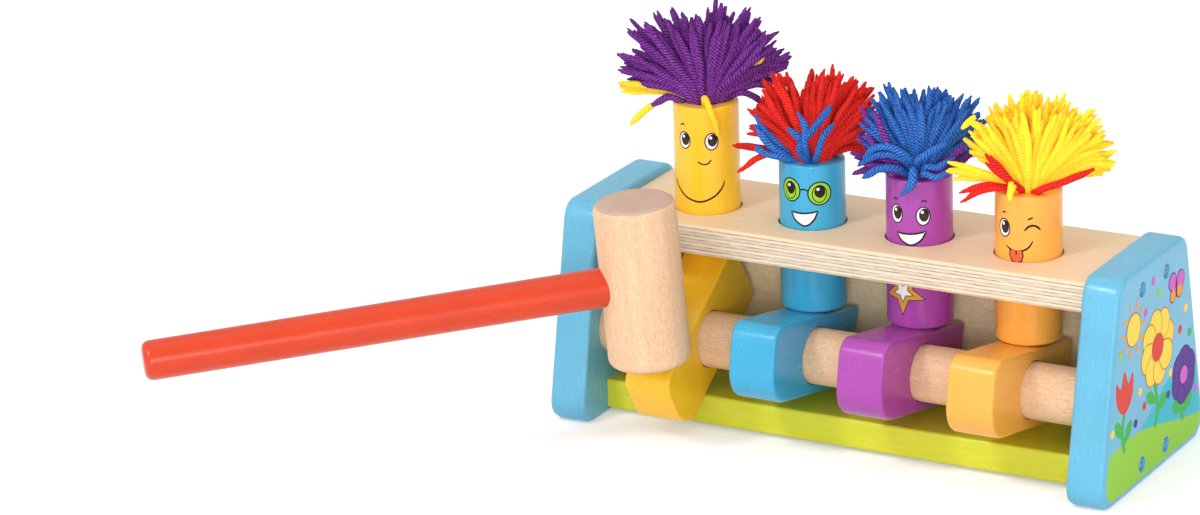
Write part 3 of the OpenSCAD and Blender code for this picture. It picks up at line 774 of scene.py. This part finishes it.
TUFTS = {
    "yellow_peg": {
        "slots": ("purple_yarn", "yellow_yarn"), "seed": 5, "left": 36.0, "right": 20.6,
        "clumps": [
            (-74, 31, 2), (-64, 36, 3), (-50, 34, 3), (-40, 42, 1), (-32, 40, 2), (-25, 36, 2),
            (-15, 38, 3), (-5, 38, 1), (-1, 35, 3), (6, 38, 1), (10, 40, 2), (18, 36, 2), (26, 40, 2),
            (36, 38, 4), (45, 37, 3), (53, 32, 2), (59, 34, 2), (66, 36, 2), (71, 32, 1), (78, 28, 1)],
        "strays": [
            (1, [(-50, 6, -2), (-55, 12, 3.5), (-58, 22, 5.0), (-60, 32, 6.0)]),
            (1, [(-56, 6, -2), (-60, 12, 3.0), (-63, 22, 3.6), (-64, 31, 3.6)]),
            (1, [(-44, 6, -1), (-50, 13, 4.6), (-54, 24, 7.0), (-57, 32, 8.2)]),
            (0, [(-35, 6, -2), (-46, 13, 2.2), (-52, 18, 0.5), (-54, 21, -1.6)]),
            (1, [(-54, 20.4, -1.2), (-55, 23, -3.0), (-56, 26, -5.8), (-57, 28, -8.0)]),
            (1, [(24, 6, -1), (26, 10.5, 3.6), (33, 14.4, 1.0), (41, 14.7, -4.5), (46, 14.6, -10.0)]),
            (1, [(122, 6, 0), (124, 14, 4), (126, 20, 5), (126, 25, 6)]),
            (1, [(116, 6, 0), (118, 14, 8), (118, 20, 14), (119, 24, 19)]),
            (0, [(96, 6, -1), (106, 13, 3), (112, 18, 1.4), (115, 21.5, -2)]),
        ],
    },
    "blue_peg": {
        "slots": ("red_yarn", "blue_yarn"), "seed": 12, "left": 20.6, "right": 20.6,
        "clumps": [
            (-58, 25, 2), (-49, 32, 1), (-42, 29, 2), (-33, 33, 3), (-25, 36, 3), (-17, 37, 3), (-1, 33, 2),
            (6, 34, 3), (13, 36, 3), (21, 35, 2), (33, 36, 3), (40, 35, 3), (48, 30, 3), (60, 24, 3)],
        "strays": [
            (1, [(24, 6, -1), (6, 13.0, 6), (20, 14.0, 12), (42, 15, 19), (54, 16, 23)]),
            (1, [(34, 6, -1), (36, 13.0, 5), (44, 14, 12), (56, 15, 16)]),
            (1, [(16, 6, 0), (16, 13.5, 9), (18, 14.5, 16), (10, 15, 21)]),
            (1, [(12, 7, 4), (10, 13.5, 11), (-6, 15.5, 15)]),
            (1, [(-20, 6, -1), (-30, 14, 4), (-38, 19, 9), (-44, 22, 14)]),
            (1, [(-12, 6, -1), (-26, 14.5, 2.5), (-36, 20, 5), (-42, 24, 8)]),
            (1, [(-28, 6, 0), (-38, 13, 6), (-46, 18, 12), (-50, 21, 17)]),
            (0, [(-36, 6, 0), (-44, 15, 4), (-42, 24, 7), (-40, 30, 9)]),
            (0, [(-34, 6, 0), (-42, 15, 3), (-40, 23, 2), (-38, 29, -1)]),
            (0, [(110, 6, 0), (118, 14, 3), (126, 20, 0), (131, 26, -6)]),
            (0, [(118, 6, 0), (130, 14, 3.5), (138, 21, 1), (142, 28, -4)]),
        ],
    },
    "purple_peg": {
        "slots": ("blue_yarn", "purple_yarn"), "seed": 23, "left": 20.6, "right": 20.6,
        "clumps": [
            (-51, 25, 3), (-43, 30, 3), (-34, 31, 2), (-26, 33, 3), (-20, 36, 3), (-11, 35, 3), (-4, 33, 3),
            (5, 32, 4), (15, 34, 4), (25, 32, 4), (35, 35, 4), (43, 31, 4), (54, 26, 3), (66, 22, 2)],
        "strays": [
            (0, [(14, 5, 2), (4, 11, 9), (-20, 15, 13), (-36, 19, 12), (-44, 22, 8)]),
            (0, [(8, 5, 2), (-4, 12, 8), (-24, 16, 10), (-38, 20, 8), (-46, 23, 5)]),
            (0, [(0, 6, 0), (-12, 14, 5), (-26, 19, 5), (-36, 23, 2)]),
            (0, [(14, 6, 2), (16, 13.2, 5.0), (14, 15.0, 1.0), (8, 14.8, -2.4), (0, 14.8, -4.2)]),
            (0, [(20, 6, 2), (19, 13.4, 4.0), (17, 15.0, 0.6), (13, 14.8, -3)]),
            (0, [(34, 6, 0), (38, 13, 6), (52, 16, 6), (66, 19, 9)]),
            (0, [(22, 6, 2), (26, 12, 8), (44, 14, 12), (60, 16, 15)]),
            (0, [(30, 6, 0), (36, 13.5, 3.2), (50, 16, 2.4), (66, 18, 5)]),
            (1, [(-30, 5, 0), (-40, 11, 9), (-48, 17, 17), (-52, 21, 26)]),
            (1, [(-16, 6, 1), (-22, 12.5, 8), (-30, 15.5, 17), (-38, 18, 26)]),
            (1, [(-22, 6, 0), (-30, 13.5, 6), (-38, 17, 11), (-44, 20, 17)]),
            (1, [(-18, 6, 0), (-28, 14, 4), (-40, 18.5, 5), (-46, 23, 6)]),
            (1, [(60, 6, 0), (66, 13, 6), (74, 18, 10), (82, 21, 14)]),
            (1, [(64, 6, 0), (70, 13.5, 4), (78, 18, 6), (86, 21, 8)]),
            (1, [(-40, 6, 0), (-50, 12, 6), (-55, 18, 10), (-57, 22, 15)]),
            (1, [(-50, 6, 0), (-56, 13, 4), (-60, 19, 5), (-62, 22.5, 6)]),
            (1, [(-34, 6, 0), (-44, 13, 5), (-50, 19, 7), (-51, 24, 9)]),
            (1, [(-26, 6, 0), (-38, 13.5, 3), (-46, 19, 3), (-48, 25, 2)]),
            (1, [(-60, 6, 0), (-64, 13, 7), (-66, 18, 11), (-66, 21, 14)]),
            (1, [(-56, 6, 0), (-62, 12, 8), (-64, 17, 14), (-64, 20, 20)]),
            (1, [(104, 6, 0), (108, 13, 6), (112, 18, 11), (114, 21.5, 15)]),
            (1, [(94, 6, 0), (98, 13, 4), (102, 18, 7), (106, 21.5, 9)]),
            (1, [(110, 6, 0), (116, 13, 5), (120, 19, 8), (123, 24, 12)]),
        ],
    },
    "orange_peg": {
        "slots": ("yellow_yarn", "red_yarn"), "seed": 31, "left": 20.6, "right": 34.0,
        "clumps": [
            (-52, 27, 1), (-40, 31, 3), (-30, 34, 3), (-22, 33, 3), (-16, 36, 3), (-8, 33, 3), (0, 37, 4),
            (10, 36, 4), (20, 36, 4), (33, 38, 4), (39, 37, 4), (51, 35, 4), (63, 34, 4), (73, 30, 3),
            (80, 26, 2)],
        "strays": [
            (0, [(-30, 6, 0), (-38, 14, 6), (-42, 23, 10), (-43, 30, 13)]),
            (0, [(-26, 6, 0), (-36, 14, 5), (-40, 23, 8), (-42, 31, 10)]),
            (0, [(-34, 6, 0), (-42, 14, 5), (-46, 22, 6), (-46, 29, 6)]),
            (0, [(-40, 6, 2), (-48, 12, 12), (-52, 17, 22), (-51, 22, 27), (-49, 25, 25)]),
            (1, [(-20, 6, 0), (-34, 14, 3), (-42, 21, 2.5), (-45, 26, 1)]),
            (1, [(-10, 6, 0), (-26, 14.5, 2.6), (-38, 21, 1), (-42, 26, -2)]),
            (1, [(2, 6, 0), (-10, 12.5, 6), (-22, 15, 11), (-32, 17, 15)]),
            (1, [(8, 6, 0), (-4, 12.5, 5), (-18, 15, 9), (-32, 17, 12)]),
            (1, [(36, 6, -1), (52, 13.5, 3.4), (80, 18, 6), (98, 25, 9)]),
            (0, [(-4, 6, 0), (-3, 11.5, 3.5), (-2, 14.8, 2.2), (-1, 15.8, -0.6)]),
        ],
    },
}


def clump_strands(lean, length, wide, layers, diameter, rng):
    """Points of the strands of one clump, in mm about the top of its peg"""
    across = Vector((math.sin(FAN_TURN), -math.cos(FAN_TURN), 0.0))
    ahead = Vector((across.y, -across.x, 0.0))
    up = Vector((0.0, 0.0, 1.0))
    root_mm, planted_mm, neck_mm, sway_mm, lowest_mm = 6.4, 3.0, 4.2, 1.2, (2.6, 3.0)
    spacing = diameter * 0.92
    for row in range(layers):
        depth = 1 - 2 * (row + rng.uniform(0.2, 0.8)) / layers
        for place in range(wide):
            angle = math.radians(lean + rng.uniform(-3.0, 3.0))
            tip = math.radians(-7 + 16 * depth * math.cos(angle) + rng.uniform(-4, 4))
            grow = (across * math.sin(angle) + up * math.cos(angle)) * math.cos(tip) + ahead * math.sin(tip)
            aside = across * math.cos(angle) - up * math.sin(angle)
            offset = (place - (wide - 1) / 2) * spacing + rng.uniform(-0.4, 0.4)
            long = length * 0.94 * rng.uniform(0.8, 1.0)
            # The roots stay inside a circle on the peg's top
            flat = math.hypot(root_mm * depth, root_mm * math.sin(angle)) / root_mm
            root = (across * math.sin(angle) + ahead * depth) * root_mm / max(1.0, flat)
            # A strand that leans far leaves the peg lower and further out, and arches over
            low = abs(math.sin(angle)) ** 4
            neck = root * (1 + 0.25 * low) + up * (neck_mm - low) + grow * 2.0 + aside * offset * 0.25
            end = root * 0.5 + grow * long + aside * offset
            end.z = max(end.z, lowest_mm[1])
            sway = Vector((rng.uniform(-1, 1), rng.uniform(-1, 1), rng.uniform(-0.5, 1))) * sway_mm
            middle = neck.lerp(end, 0.52) + sway + up * 1.6 * low
            middle.z = max(middle.z, lowest_mm[0])
            yield [root - up * planted_mm, neck, middle, end]


def tuft_guides(name, spec, top, sizes):
    """Lines that the strands of a tuft follow, with each strand's girth, colour and shade"""
    frays, spare_mm = 3, 6.0
    rng = random.Random(spec["seed"])
    lines = []
    for lean, length, wide in spec["clumps"]:
        for points in clump_strands(lean, length, wide, sizes.layers, sizes.diameter / MM, rng):
            lines.append((0, points))
    for accent, points in spec["strays"]:
        turned = [(math.radians(turn), radius, height) for turn, radius, height in points]
        lines.append((accent, [Vector((r * math.sin(a), -r * math.cos(a), h)) for a, r, h in turned]))
    verts, edges, girths, accents, shades = [], [], [], [], []

    def put(points, girth, accent, shade):
        """Adds one line, kept within the tuft's room"""
        start = len(verts)
        for p in points:
            # Right ends turn to the back and left ends to the front, so there they may pass the neighbour's
            right = spec["right"] + max(0.0, min(spare_mm, 0.8 * (p.y - 4)))
            left = spec["left"] + max(0.0, min(spare_mm, 0.8 * (-p.y - 4)))
            verts.append(top + Vector((max(-left, min(right, p.x)), p.y, p.z)) * MM)
        edges.extend((start + i, start + i + 1) for i in range(len(points) - 1))
        girths.extend([girth] * len(points))
        accents.extend([float(accent)] * len(points))
        shades.extend([shade] * len(points))

    for accent, points in lines:
        shade = rng.random()
        put(points, rng.uniform(0.86, 1.06), accent, shade)
        end = points[-1]
        ahead = (end - points[-2]).normalized()
        # The strand's end frays into thin plies
        for _ in range(frays):
            spread = Vector((rng.uniform(-1, 1), rng.uniform(-1, 1), rng.uniform(-1, 1))) * 0.4
            tip = end + (ahead + spread).normalized() * rng.uniform(-2.2, 1.9)
            foot = end - ahead * 6.5 + spread * 0.8
            middle = end - ahead * 3.2 + spread * 1.8
            put([foot, middle, tip], rng.uniform(0.4, 0.58), accent, shade)
    mesh = bpy.data.meshes.new(name)
    mesh.from_pydata(verts, edges, [])
    for label, values in (("girth", girths), ("accent", accents), ("shade", shades)):
        mesh.attributes.new(label, "FLOAT", "POINT").data.foreach_set("value", values)
    return mesh


def yarn_tree():
    """Geometry nodes that sweep yarn along lines"""
    wave_mm, wave_run_mm, sides = 1.6, 9, 8
    tree = bpy.data.node_groups.new("plied_yarn_on_lines", "GeometryNodeTree")
    panel = tree.interface
    panel.new_socket("Geometry", in_out="OUTPUT", socket_type="NodeSocketGeometry")
    panel.new_socket("Lines", in_out="INPUT", socket_type="NodeSocketGeometry")
    inputs = {
        "Yarn Diameter": "Float", "Segment Length": "Float", "Seed": "Int", "Main Yarn": "Material",
        "Accent Yarn": "Material"}
    for label, kind in inputs.items():
        panel.new_socket(label, in_out="INPUT", socket_type="NodeSocket" + kind)
    given = add(tree, "NodeGroupInput").outputs
    curves = add(tree, "GeometryNodeMeshToCurve", {"Mesh": given["Lines"]})
    curves = add(tree, "GeometryNodeCurveSplineType", {"Curve": curves}, spline_type="CATMULL_ROM")
    curves = add(tree, "GeometryNodeResampleCurve", {
        "Curve": curves, "Length": given["Segment Length"]}, mode="LENGTH")
    run = add(tree, "GeometryNodeSplineParameter").outputs
    # A loose strand waves by about half a millimetre to each side
    place = add(tree, "GeometryNodeInputPosition")
    shade = add(tree, "GeometryNodeInputNamedAttribute", {"Name": "shade"}, data_type="FLOAT")
    spot = add(tree, "ShaderNodeMath", {0: shade, 1: 37.0, 2: given["Seed"]}, operation="MULTIPLY_ADD")
    wave = add(tree, "ShaderNodeTexNoise", {
        "Vector": place, "W": spot, "Scale": 1 / (wave_run_mm * MM), "Detail": 1.0}, noise_dimensions="4D")
    wave = add(tree, "ShaderNodeVectorMath", {
        0: wave.outputs["Color"], 1: (0.5, 0.5, 0.5)}, operation="SUBTRACT")
    wave = add(tree, "ShaderNodeVectorMath", {0: wave, "Scale": wave_mm * MM}, operation="SCALE")
    curves = add(tree, "GeometryNodeSetPosition", {"Geometry": curves, "Offset": wave})
    girth = add(tree, "GeometryNodeInputNamedAttribute", {"Name": "girth"}, data_type="FLOAT")
    taper = add(tree, "ShaderNodeMapRange", {
        "Value": run["Factor"], "From Min": 0.78, "From Max": 1.0, "To Min": 1.0, "To Max": 0.5},
        interpolation_type="SMOOTHSTEP")
    thick = add(tree, "ShaderNodeMath", {0: girth, 1: taper}, operation="MULTIPLY")
    curves = add(tree, "GeometryNodeStoreNamedAttribute", {
        "Geometry": curves, "Name": "along", "Value": run["Length"]}, data_type="FLOAT", domain="POINT")
    # Each point of the profile keeps its direction, from which the material winds the plies
    radius = add(tree, "ShaderNodeMath", {0: given["Yarn Diameter"], 1: 0.5}, operation="MULTIPLY")
    ring = add(tree, "GeometryNodeCurvePrimitiveCircle", {"Resolution": sides, "Radius": radius})
    outward = add(tree, "ShaderNodeVectorMath", {0: place}, operation="NORMALIZE")
    ring = add(tree, "GeometryNodeStoreNamedAttribute", {
        "Geometry": ring, "Name": "rim", "Value": outward}, data_type="FLOAT_VECTOR", domain="POINT")
    body = add(tree, "GeometryNodeCurveToMesh", {
        "Curve": curves, "Profile Curve": ring, "Scale": thick, "Fill Caps": True})
    body = add(tree, "GeometryNodeSetShadeSmooth", {"Geometry": body})
    body = add(tree, "GeometryNodeRealizeInstances", {"Geometry": body})
    body = add(tree, "GeometryNodeSetMaterial", {"Geometry": body, "Material": given["Main Yarn"]})
    accent = add(tree, "GeometryNodeInputNamedAttribute", {"Name": "accent"}, data_type="FLOAT")
    chosen = add(tree, "FunctionNodeCompare", {0: accent, 1: 0.5},
                 data_type="FLOAT", operation="GREATER_THAN")
    body = add(tree, "GeometryNodeSetMaterial", {
        "Geometry": body, "Selection": chosen, "Material": given["Accent Yarn"]})
    add(tree, "NodeGroupOutput", {"Geometry": body})
    return tree


def tree_inputs(tree):
    """Identifiers of a tree's inputs, by name"""
    return {item.name: item.identifier for item in tree.interface.items_tree if item.in_out == "INPUT"}


def area_light(name, place, aim, power, size):
    """A round soft lamp turned to a point"""
    data = bpy.data.lights.new(name, "AREA")
    data.shape, data.size, data.energy = "DISK", size, power
    lamp = bpy.data.objects.new(name, data)
    bpy.context.scene.collection.objects.link(lamp)
    lamp.location = place
    lamp.rotation_euler = (Vector(aim) - Vector(place)).to_track_quat("-Z", "Y").to_euler()


class BENCH_OT_stage(bpy.types.Operator):
    """Sets the camera, the lamps, the sky and the paper floor"""

    bl_idname = "bench.stage"
    bl_label = "Set the Stage"

    def execute(self, context):
        scene, stage, colours = context.scene, context.scene.bench_stage, context.scene.bench_colours
        scene.view_settings.view_transform = "Standard"
        a, e, r = stage.azimuth, stage.elevation, stage.roll
        back = Vector((math.sin(a) * math.cos(e), -math.cos(a) * math.cos(e), math.sin(e)))
        right = Vector((math.cos(a), math.sin(a), 0.0))
        up = back.cross(right)
        side = right * math.cos(r) + up * math.sin(r)
        head = up * math.cos(r) - right * math.sin(r)
        camera = bpy.data.objects.new("camera", bpy.data.cameras.new("camera"))
        scene.collection.objects.link(camera)
        sensor_mm, far = 36.0, 50.0
        camera.data.lens, camera.data.sensor_width, camera.data.clip_end = stage.lens, sensor_mm, far
        turn = Matrix((side, head, back)).transposed().to_4x4()
        camera.matrix_world = Matrix.Translation(Vector(stage.aim) + back * stage.distance) @ turn
        scene.camera = camera

        middle = (CAD_BOX[0] + CAD_BOX[1]) / 2
        # Each lamp's place, power and diameter
        lamps = {
            "key_lamp": ((-0.75, -2.1, 1.0), stage.key, 1.6),
            "fill_lamp": ((1.85, -1.2, 0.36), stage.fill, 1.6),
            "front_lamp": ((0.9, -1.95, 0.52), stage.front, 0.6),
            "top_lamp": ((0.1, 0.35, 1.9), stage.top, 1.8),
            "spark_lamp": ((-0.6, -1.3, 1.5), stage.spark, 0.32)}
        for name, (place, power, size) in lamps.items():
            area_light(name, place, middle, power, size)
        world = bpy.data.worlds.new("studio")
        scene.world = world
        world.use_nodes = True
        tree = world.node_tree
        tree.nodes.clear()
        rays = add(tree, "ShaderNodeLightPath").outputs
        seen = add(tree, "ShaderNodeMath", {
            0: rays["Is Camera Ray"], 1: rays["Is Transmission Ray"]}, operation="MAXIMUM")
        even = add(tree, "ShaderNodeBackground", {"Color": linear("#FFFFFF"), "Strength": stage.sky})
        white = add(tree, "ShaderNodeBackground", {"Color": linear("#FFFFFF"), "Strength": 1.0})
        mixed = add(tree, "ShaderNodeMixShader", {0: seen, 1: even, 2: white})
        add(tree, "ShaderNodeOutputWorld", {"Surface": mixed})

        half, gap = 4.0, 0.02 * MM
        level = CAD_BOX[0].z - gap
        corners = [(-half, -half, level), (half, -half, level), (half, half, level), (-half, half, level)]
        mesh = bpy.data.meshes.new("floor")
        mesh.from_pydata(corners, [], [(0, 1, 2, 3)])
        mesh.materials.append(studio_paper("white_studio_paper", colours.floor))
        new_object("floor", mesh)
        return {"FINISHED"}


class BENCH_OT_boards(bpy.types.Operator):
    """Finishes the plate, the base board, the back panel, the axle and the screws"""

    bl_idname = "bench.boards"
    bl_label = "Finish the Boards"

    def execute(self, context):
        colours = context.scene.bench_colours
        along_x = (0.0, math.pi / 2, 0.0)
        low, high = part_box("top_plate")
        ply = birch_plywood(
            "birch_plywood", colours.birch, colours.birch_core, colours.birch_seam, low.z, high.z)
        soft_edged("top_plate", "plate_board", ply, "bench")
        lime = satin_lacquer("lime_satin_lacquer", colours.lime, (18.0, 1.0, 1.0))
        soft_edged("base_board", "base_lacquered", lime, "bench")
        # The back panel's colour is partly painted light: paled to brighten it in the plate's shade
        pale = bare_beech("bare_beech_panel", colours.pale_beech_and_painted_light, colours.beech_end, along_x)
        soft_edged("back_panel", "back_board", pale, "bench")
        dowel = bare_beech("bare_beech_dowel", colours.beech, colours.beech_end, along_x)
        soft_edged("axle_dowel", "axle_bare", dowel, "bench", end_axis=(1, 0, 0))
        steel = zinc_steel("zinc_plated_steel", colours.zinc)
        for node in ("plate_screws", "base_screws"):
            frame["nodes"][node].material_slots[0].material = steel
        return {"FINISHED"}


class BENCH_OT_panels(bpy.types.Operator):
    """Lacquers the end panels and prints their outer faces"""

    bl_idname = "bench.panels"
    bl_label = "Paint the End Panels"

    def execute(self, context):
        colours, sizes = context.scene.bench_colours, context.scene.bench_print
        lacquer = satin_lacquer("sky_blue_satin_lacquer", colours.sky_blue, (1.0, 1.0, 15.0))
        inks = [screen_ink(name + "_ink", value) for name, value in PANEL_INKS.items()]
        # Margin round the print, half depth of a panel at its top, and the print's corner radius, in mm
        rim, top_half, corner = 2.4, 32.25, 6.0
        # Half spacing and height of the base screws, and radius of the print's gaps round them, in mm
        screw_y, screw_z, screw_gap = 11.0, 5.85, 3.2
        screws = [(y, screw_z, screw_gap) for y in (-screw_y, screw_y)]
        for side, node in ((-1, "left_end_panel"), (1, "right_end_panel")):
            name = node.replace("end_panel", "panel_lacquered")
            soft_edged(node, name, lacquer, "bench")
            low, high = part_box(node)
            face = high.x if side > 0 else -low.x
            foot, head = high.y / MM - rim, top_half - rim
            bottom, crest = low.z / MM + rim, high.z / MM - rim
            outline = rounded([(-foot, bottom), (foot, bottom), (head, crest), (-head, crest)], corner)
            shapes = panel_print_shapes(outline, screws)

            def on_face(x, z, h, s=side, f=face):
                """Sets a point of the print on the panel's outer face"""
                return Vector((s * (f + h * MM), s * x * MM, z * MM))

            name = node.replace("end_panel", "panel_print")
            film = printed(name, shapes, inks, on_face, sizes.film, sizes.sink)
            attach(film, "bench")
        return {"FINISHED"}


class BENCH_OT_levers(bpy.types.Operator):
    """Lacquers the four levers"""

    bl_idname = "bench.levers"
    bl_label = "Paint the Levers"

    def execute(self, context):
        colours = context.scene.bench_colours
        # The grain runs along a lever, which lies at one of these angles
        rest, struck = math.radians(-11.2), math.radians(33.5)
        for lever in LEVERS:
            hue = lever.split("_")[0]
            tilt = struck if hue == "yellow" else rest
            lacquer = satin_lacquer(
                hue + "_lever_lacquer", getattr(colours, hue), (0.9, 14.0, 0.9), (tilt, 0.0, 0.0))
            soft_edged(lever, lever + "_lacquered", lacquer, lever)
        return {"FINISHED"}


class BENCH_OT_pegs(bpy.types.Operator):
    """Lacquers the four pegs and prints their faces"""

    bl_idname = "bench.pegs"
    bl_label = "Paint the Pegs"

    def execute(self, context):
        colours, sizes = context.scene.bench_colours, context.scene.bench_print
        inks = [screen_ink(name + "_ink", value) for name, value in FACE_INKS.items()]
        faces = face_shapes(sizes.line / MM)
        for peg in PEGS:
            hue = peg.split("_")[0]
            lacquer = satin_lacquer(hue + "_peg_lacquer", getattr(colours, hue), (0.8, 0.8, 18.0))
            soft_edged(peg, peg + "_lacquered", lacquer, peg)
            low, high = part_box(peg)
            middle, radius = (low + high) / 2, (high.x - low.x) / 2

            def wrap(x, z, h, m=middle, r=radius, t=high.z):
                """Sets a point of the print on the peg's round side"""
                turn, out = x * MM / r, r + h * MM
                return Vector((m.x + out * math.sin(turn), m.y - out * math.cos(turn), t + z * MM))

            film = printed(peg + "_face", faces[peg], inks, wrap, sizes.film, sizes.sink, slice_mm=0.7)
            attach(film, peg)
        return {"FINISHED"}


class BENCH_OT_hair(bpy.types.Operator):
    """Plants a tuft of plied yarn in each peg"""

    bl_idname = "bench.hair"
    bl_label = "Plant the Hair"

    def execute(self, context):
        colours, sizes = context.scene.bench_colours, context.scene.bench_yarn
        # Share of its light that each yarn passes on
        passed = {"purple": 0.08, "red": 0.25, "blue": 0.12, "yellow": 0.45}
        yarns = {}
        for hue, share in passed.items():
            # Each yarn's crown colour, and the darker painted shade of its grooves
            crown, groove_shade = getattr(colours, "yarn_" + hue), getattr(colours, "groove_shade_" + hue)
            yarns[hue + "_yarn"] = plied_yarn(
                hue + "_acrylic_yarn", crown, groove_shade, share, sizes.plies, sizes.lay)
        tree = yarn_tree()
        names = tree_inputs(tree)
        for peg, spec in TUFTS.items():
            low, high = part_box(peg)
            top = Vector(((low.x + high.x) / 2, (low.y + high.y) / 2, high.z))
            tuft = new_object(peg + "_tuft", tuft_guides(peg + "_tuft", spec, top, sizes))
            modifier = tuft.modifiers.new("yarn", "NODES")
            modifier.node_group = tree
            main_yarn, accent_yarn = (yarns[slot] for slot in spec["slots"])
            values = {
                "Yarn Diameter": sizes.diameter, "Segment Length": sizes.segment, "Seed": spec["seed"],
                "Main Yarn": main_yarn, "Accent Yarn": accent_yarn}
            for label, value in values.items():
                modifier[names[label]] = value
            settle(tuft)
            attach(tuft, peg)
            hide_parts(peg + "_hair")
        return {"FINISHED"}


class BENCH_OT_mallet(bpy.types.Operator):
    """Finishes the mallet's bare head and its lacquered handle"""

    bl_idname = "bench.mallet"
    bl_label = "Finish the Mallet"

    def execute(self, context):
        colours = context.scene.bench_colours
        # The mallet is turned about the vertical, and its handle droops a little
        droop, turned = math.radians(-4.0), math.radians(40.0)
        turn = (0.0, droop, turned)
        lean = Matrix.Rotation(turned, 3, "Z") @ Matrix.Rotation(droop, 3, "Y")
        low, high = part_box("mallet_head")
        centre = tuple((low + high) / 2)
        head = bare_beech("bare_beech_mallet", colours.beech, colours.beech_end, turn, centre)
        axis = lean @ Vector((0, 0, 1))
        soft_edged("mallet_head", "mallet_head_bare", head, "mallet", end_axis=axis)
        handle = satin_lacquer("red_satin_lacquer", colours.red, (14.0, 0.8, 0.8), turn)
        soft_edged("mallet_handle", "mallet_handle_lacquered", handle, "mallet")
        return {"FINISHED"}


OPERATORS = (
    BENCH_OT_stage, BENCH_OT_boards, BENCH_OT_panels, BENCH_OT_levers, BENCH_OT_pegs, BENCH_OT_hair,
    BENCH_OT_mallet)
GROUPS = {
    "bench_colours": BenchColours, "bench_yarn": YarnSizes, "bench_print": PrintSizes,
    "bench_stage": StageSettings}


class BENCH_PT_sidebar(bpy.types.Panel):
    """Lists the bench's operators and settings"""

    bl_idname = "BENCH_PT_sidebar"
    bl_label = "Peg Pounding Bench"
    bl_space_type = "VIEW_3D"
    bl_region_type = "UI"
    bl_category = "Bench"

    def draw(self, context):
        for operator in OPERATORS:
            self.layout.operator(operator.bl_idname)
        for name, group in GROUPS.items():
            box = self.layout.box()
            for key in group.__annotations__:
                box.prop(getattr(context.scene, name), key)


CLASSES = (*GROUPS.values(), *OPERATORS, BENCH_PT_sidebar)


def register():
    for kind in CLASSES:
        bpy.utils.register_class(kind)
    for name, group in GROUPS.items():
        setattr(bpy.types.Scene, name, PointerProperty(type=group))


def unregister():
    for name in GROUPS:
        delattr(bpy.types.Scene, name)
    for kind in reversed(CLASSES):
        bpy.utils.unregister_class(kind)


def main():
    register()
    bpy.ops.bench.stage()
    bpy.ops.bench.boards()
    bpy.ops.bench.panels()
    bpy.ops.bench.levers()
    bpy.ops.bench.pegs()
    bpy.ops.bench.hair()
    bpy.ops.bench.mallet()


if __name__ == "__main__":
    main()
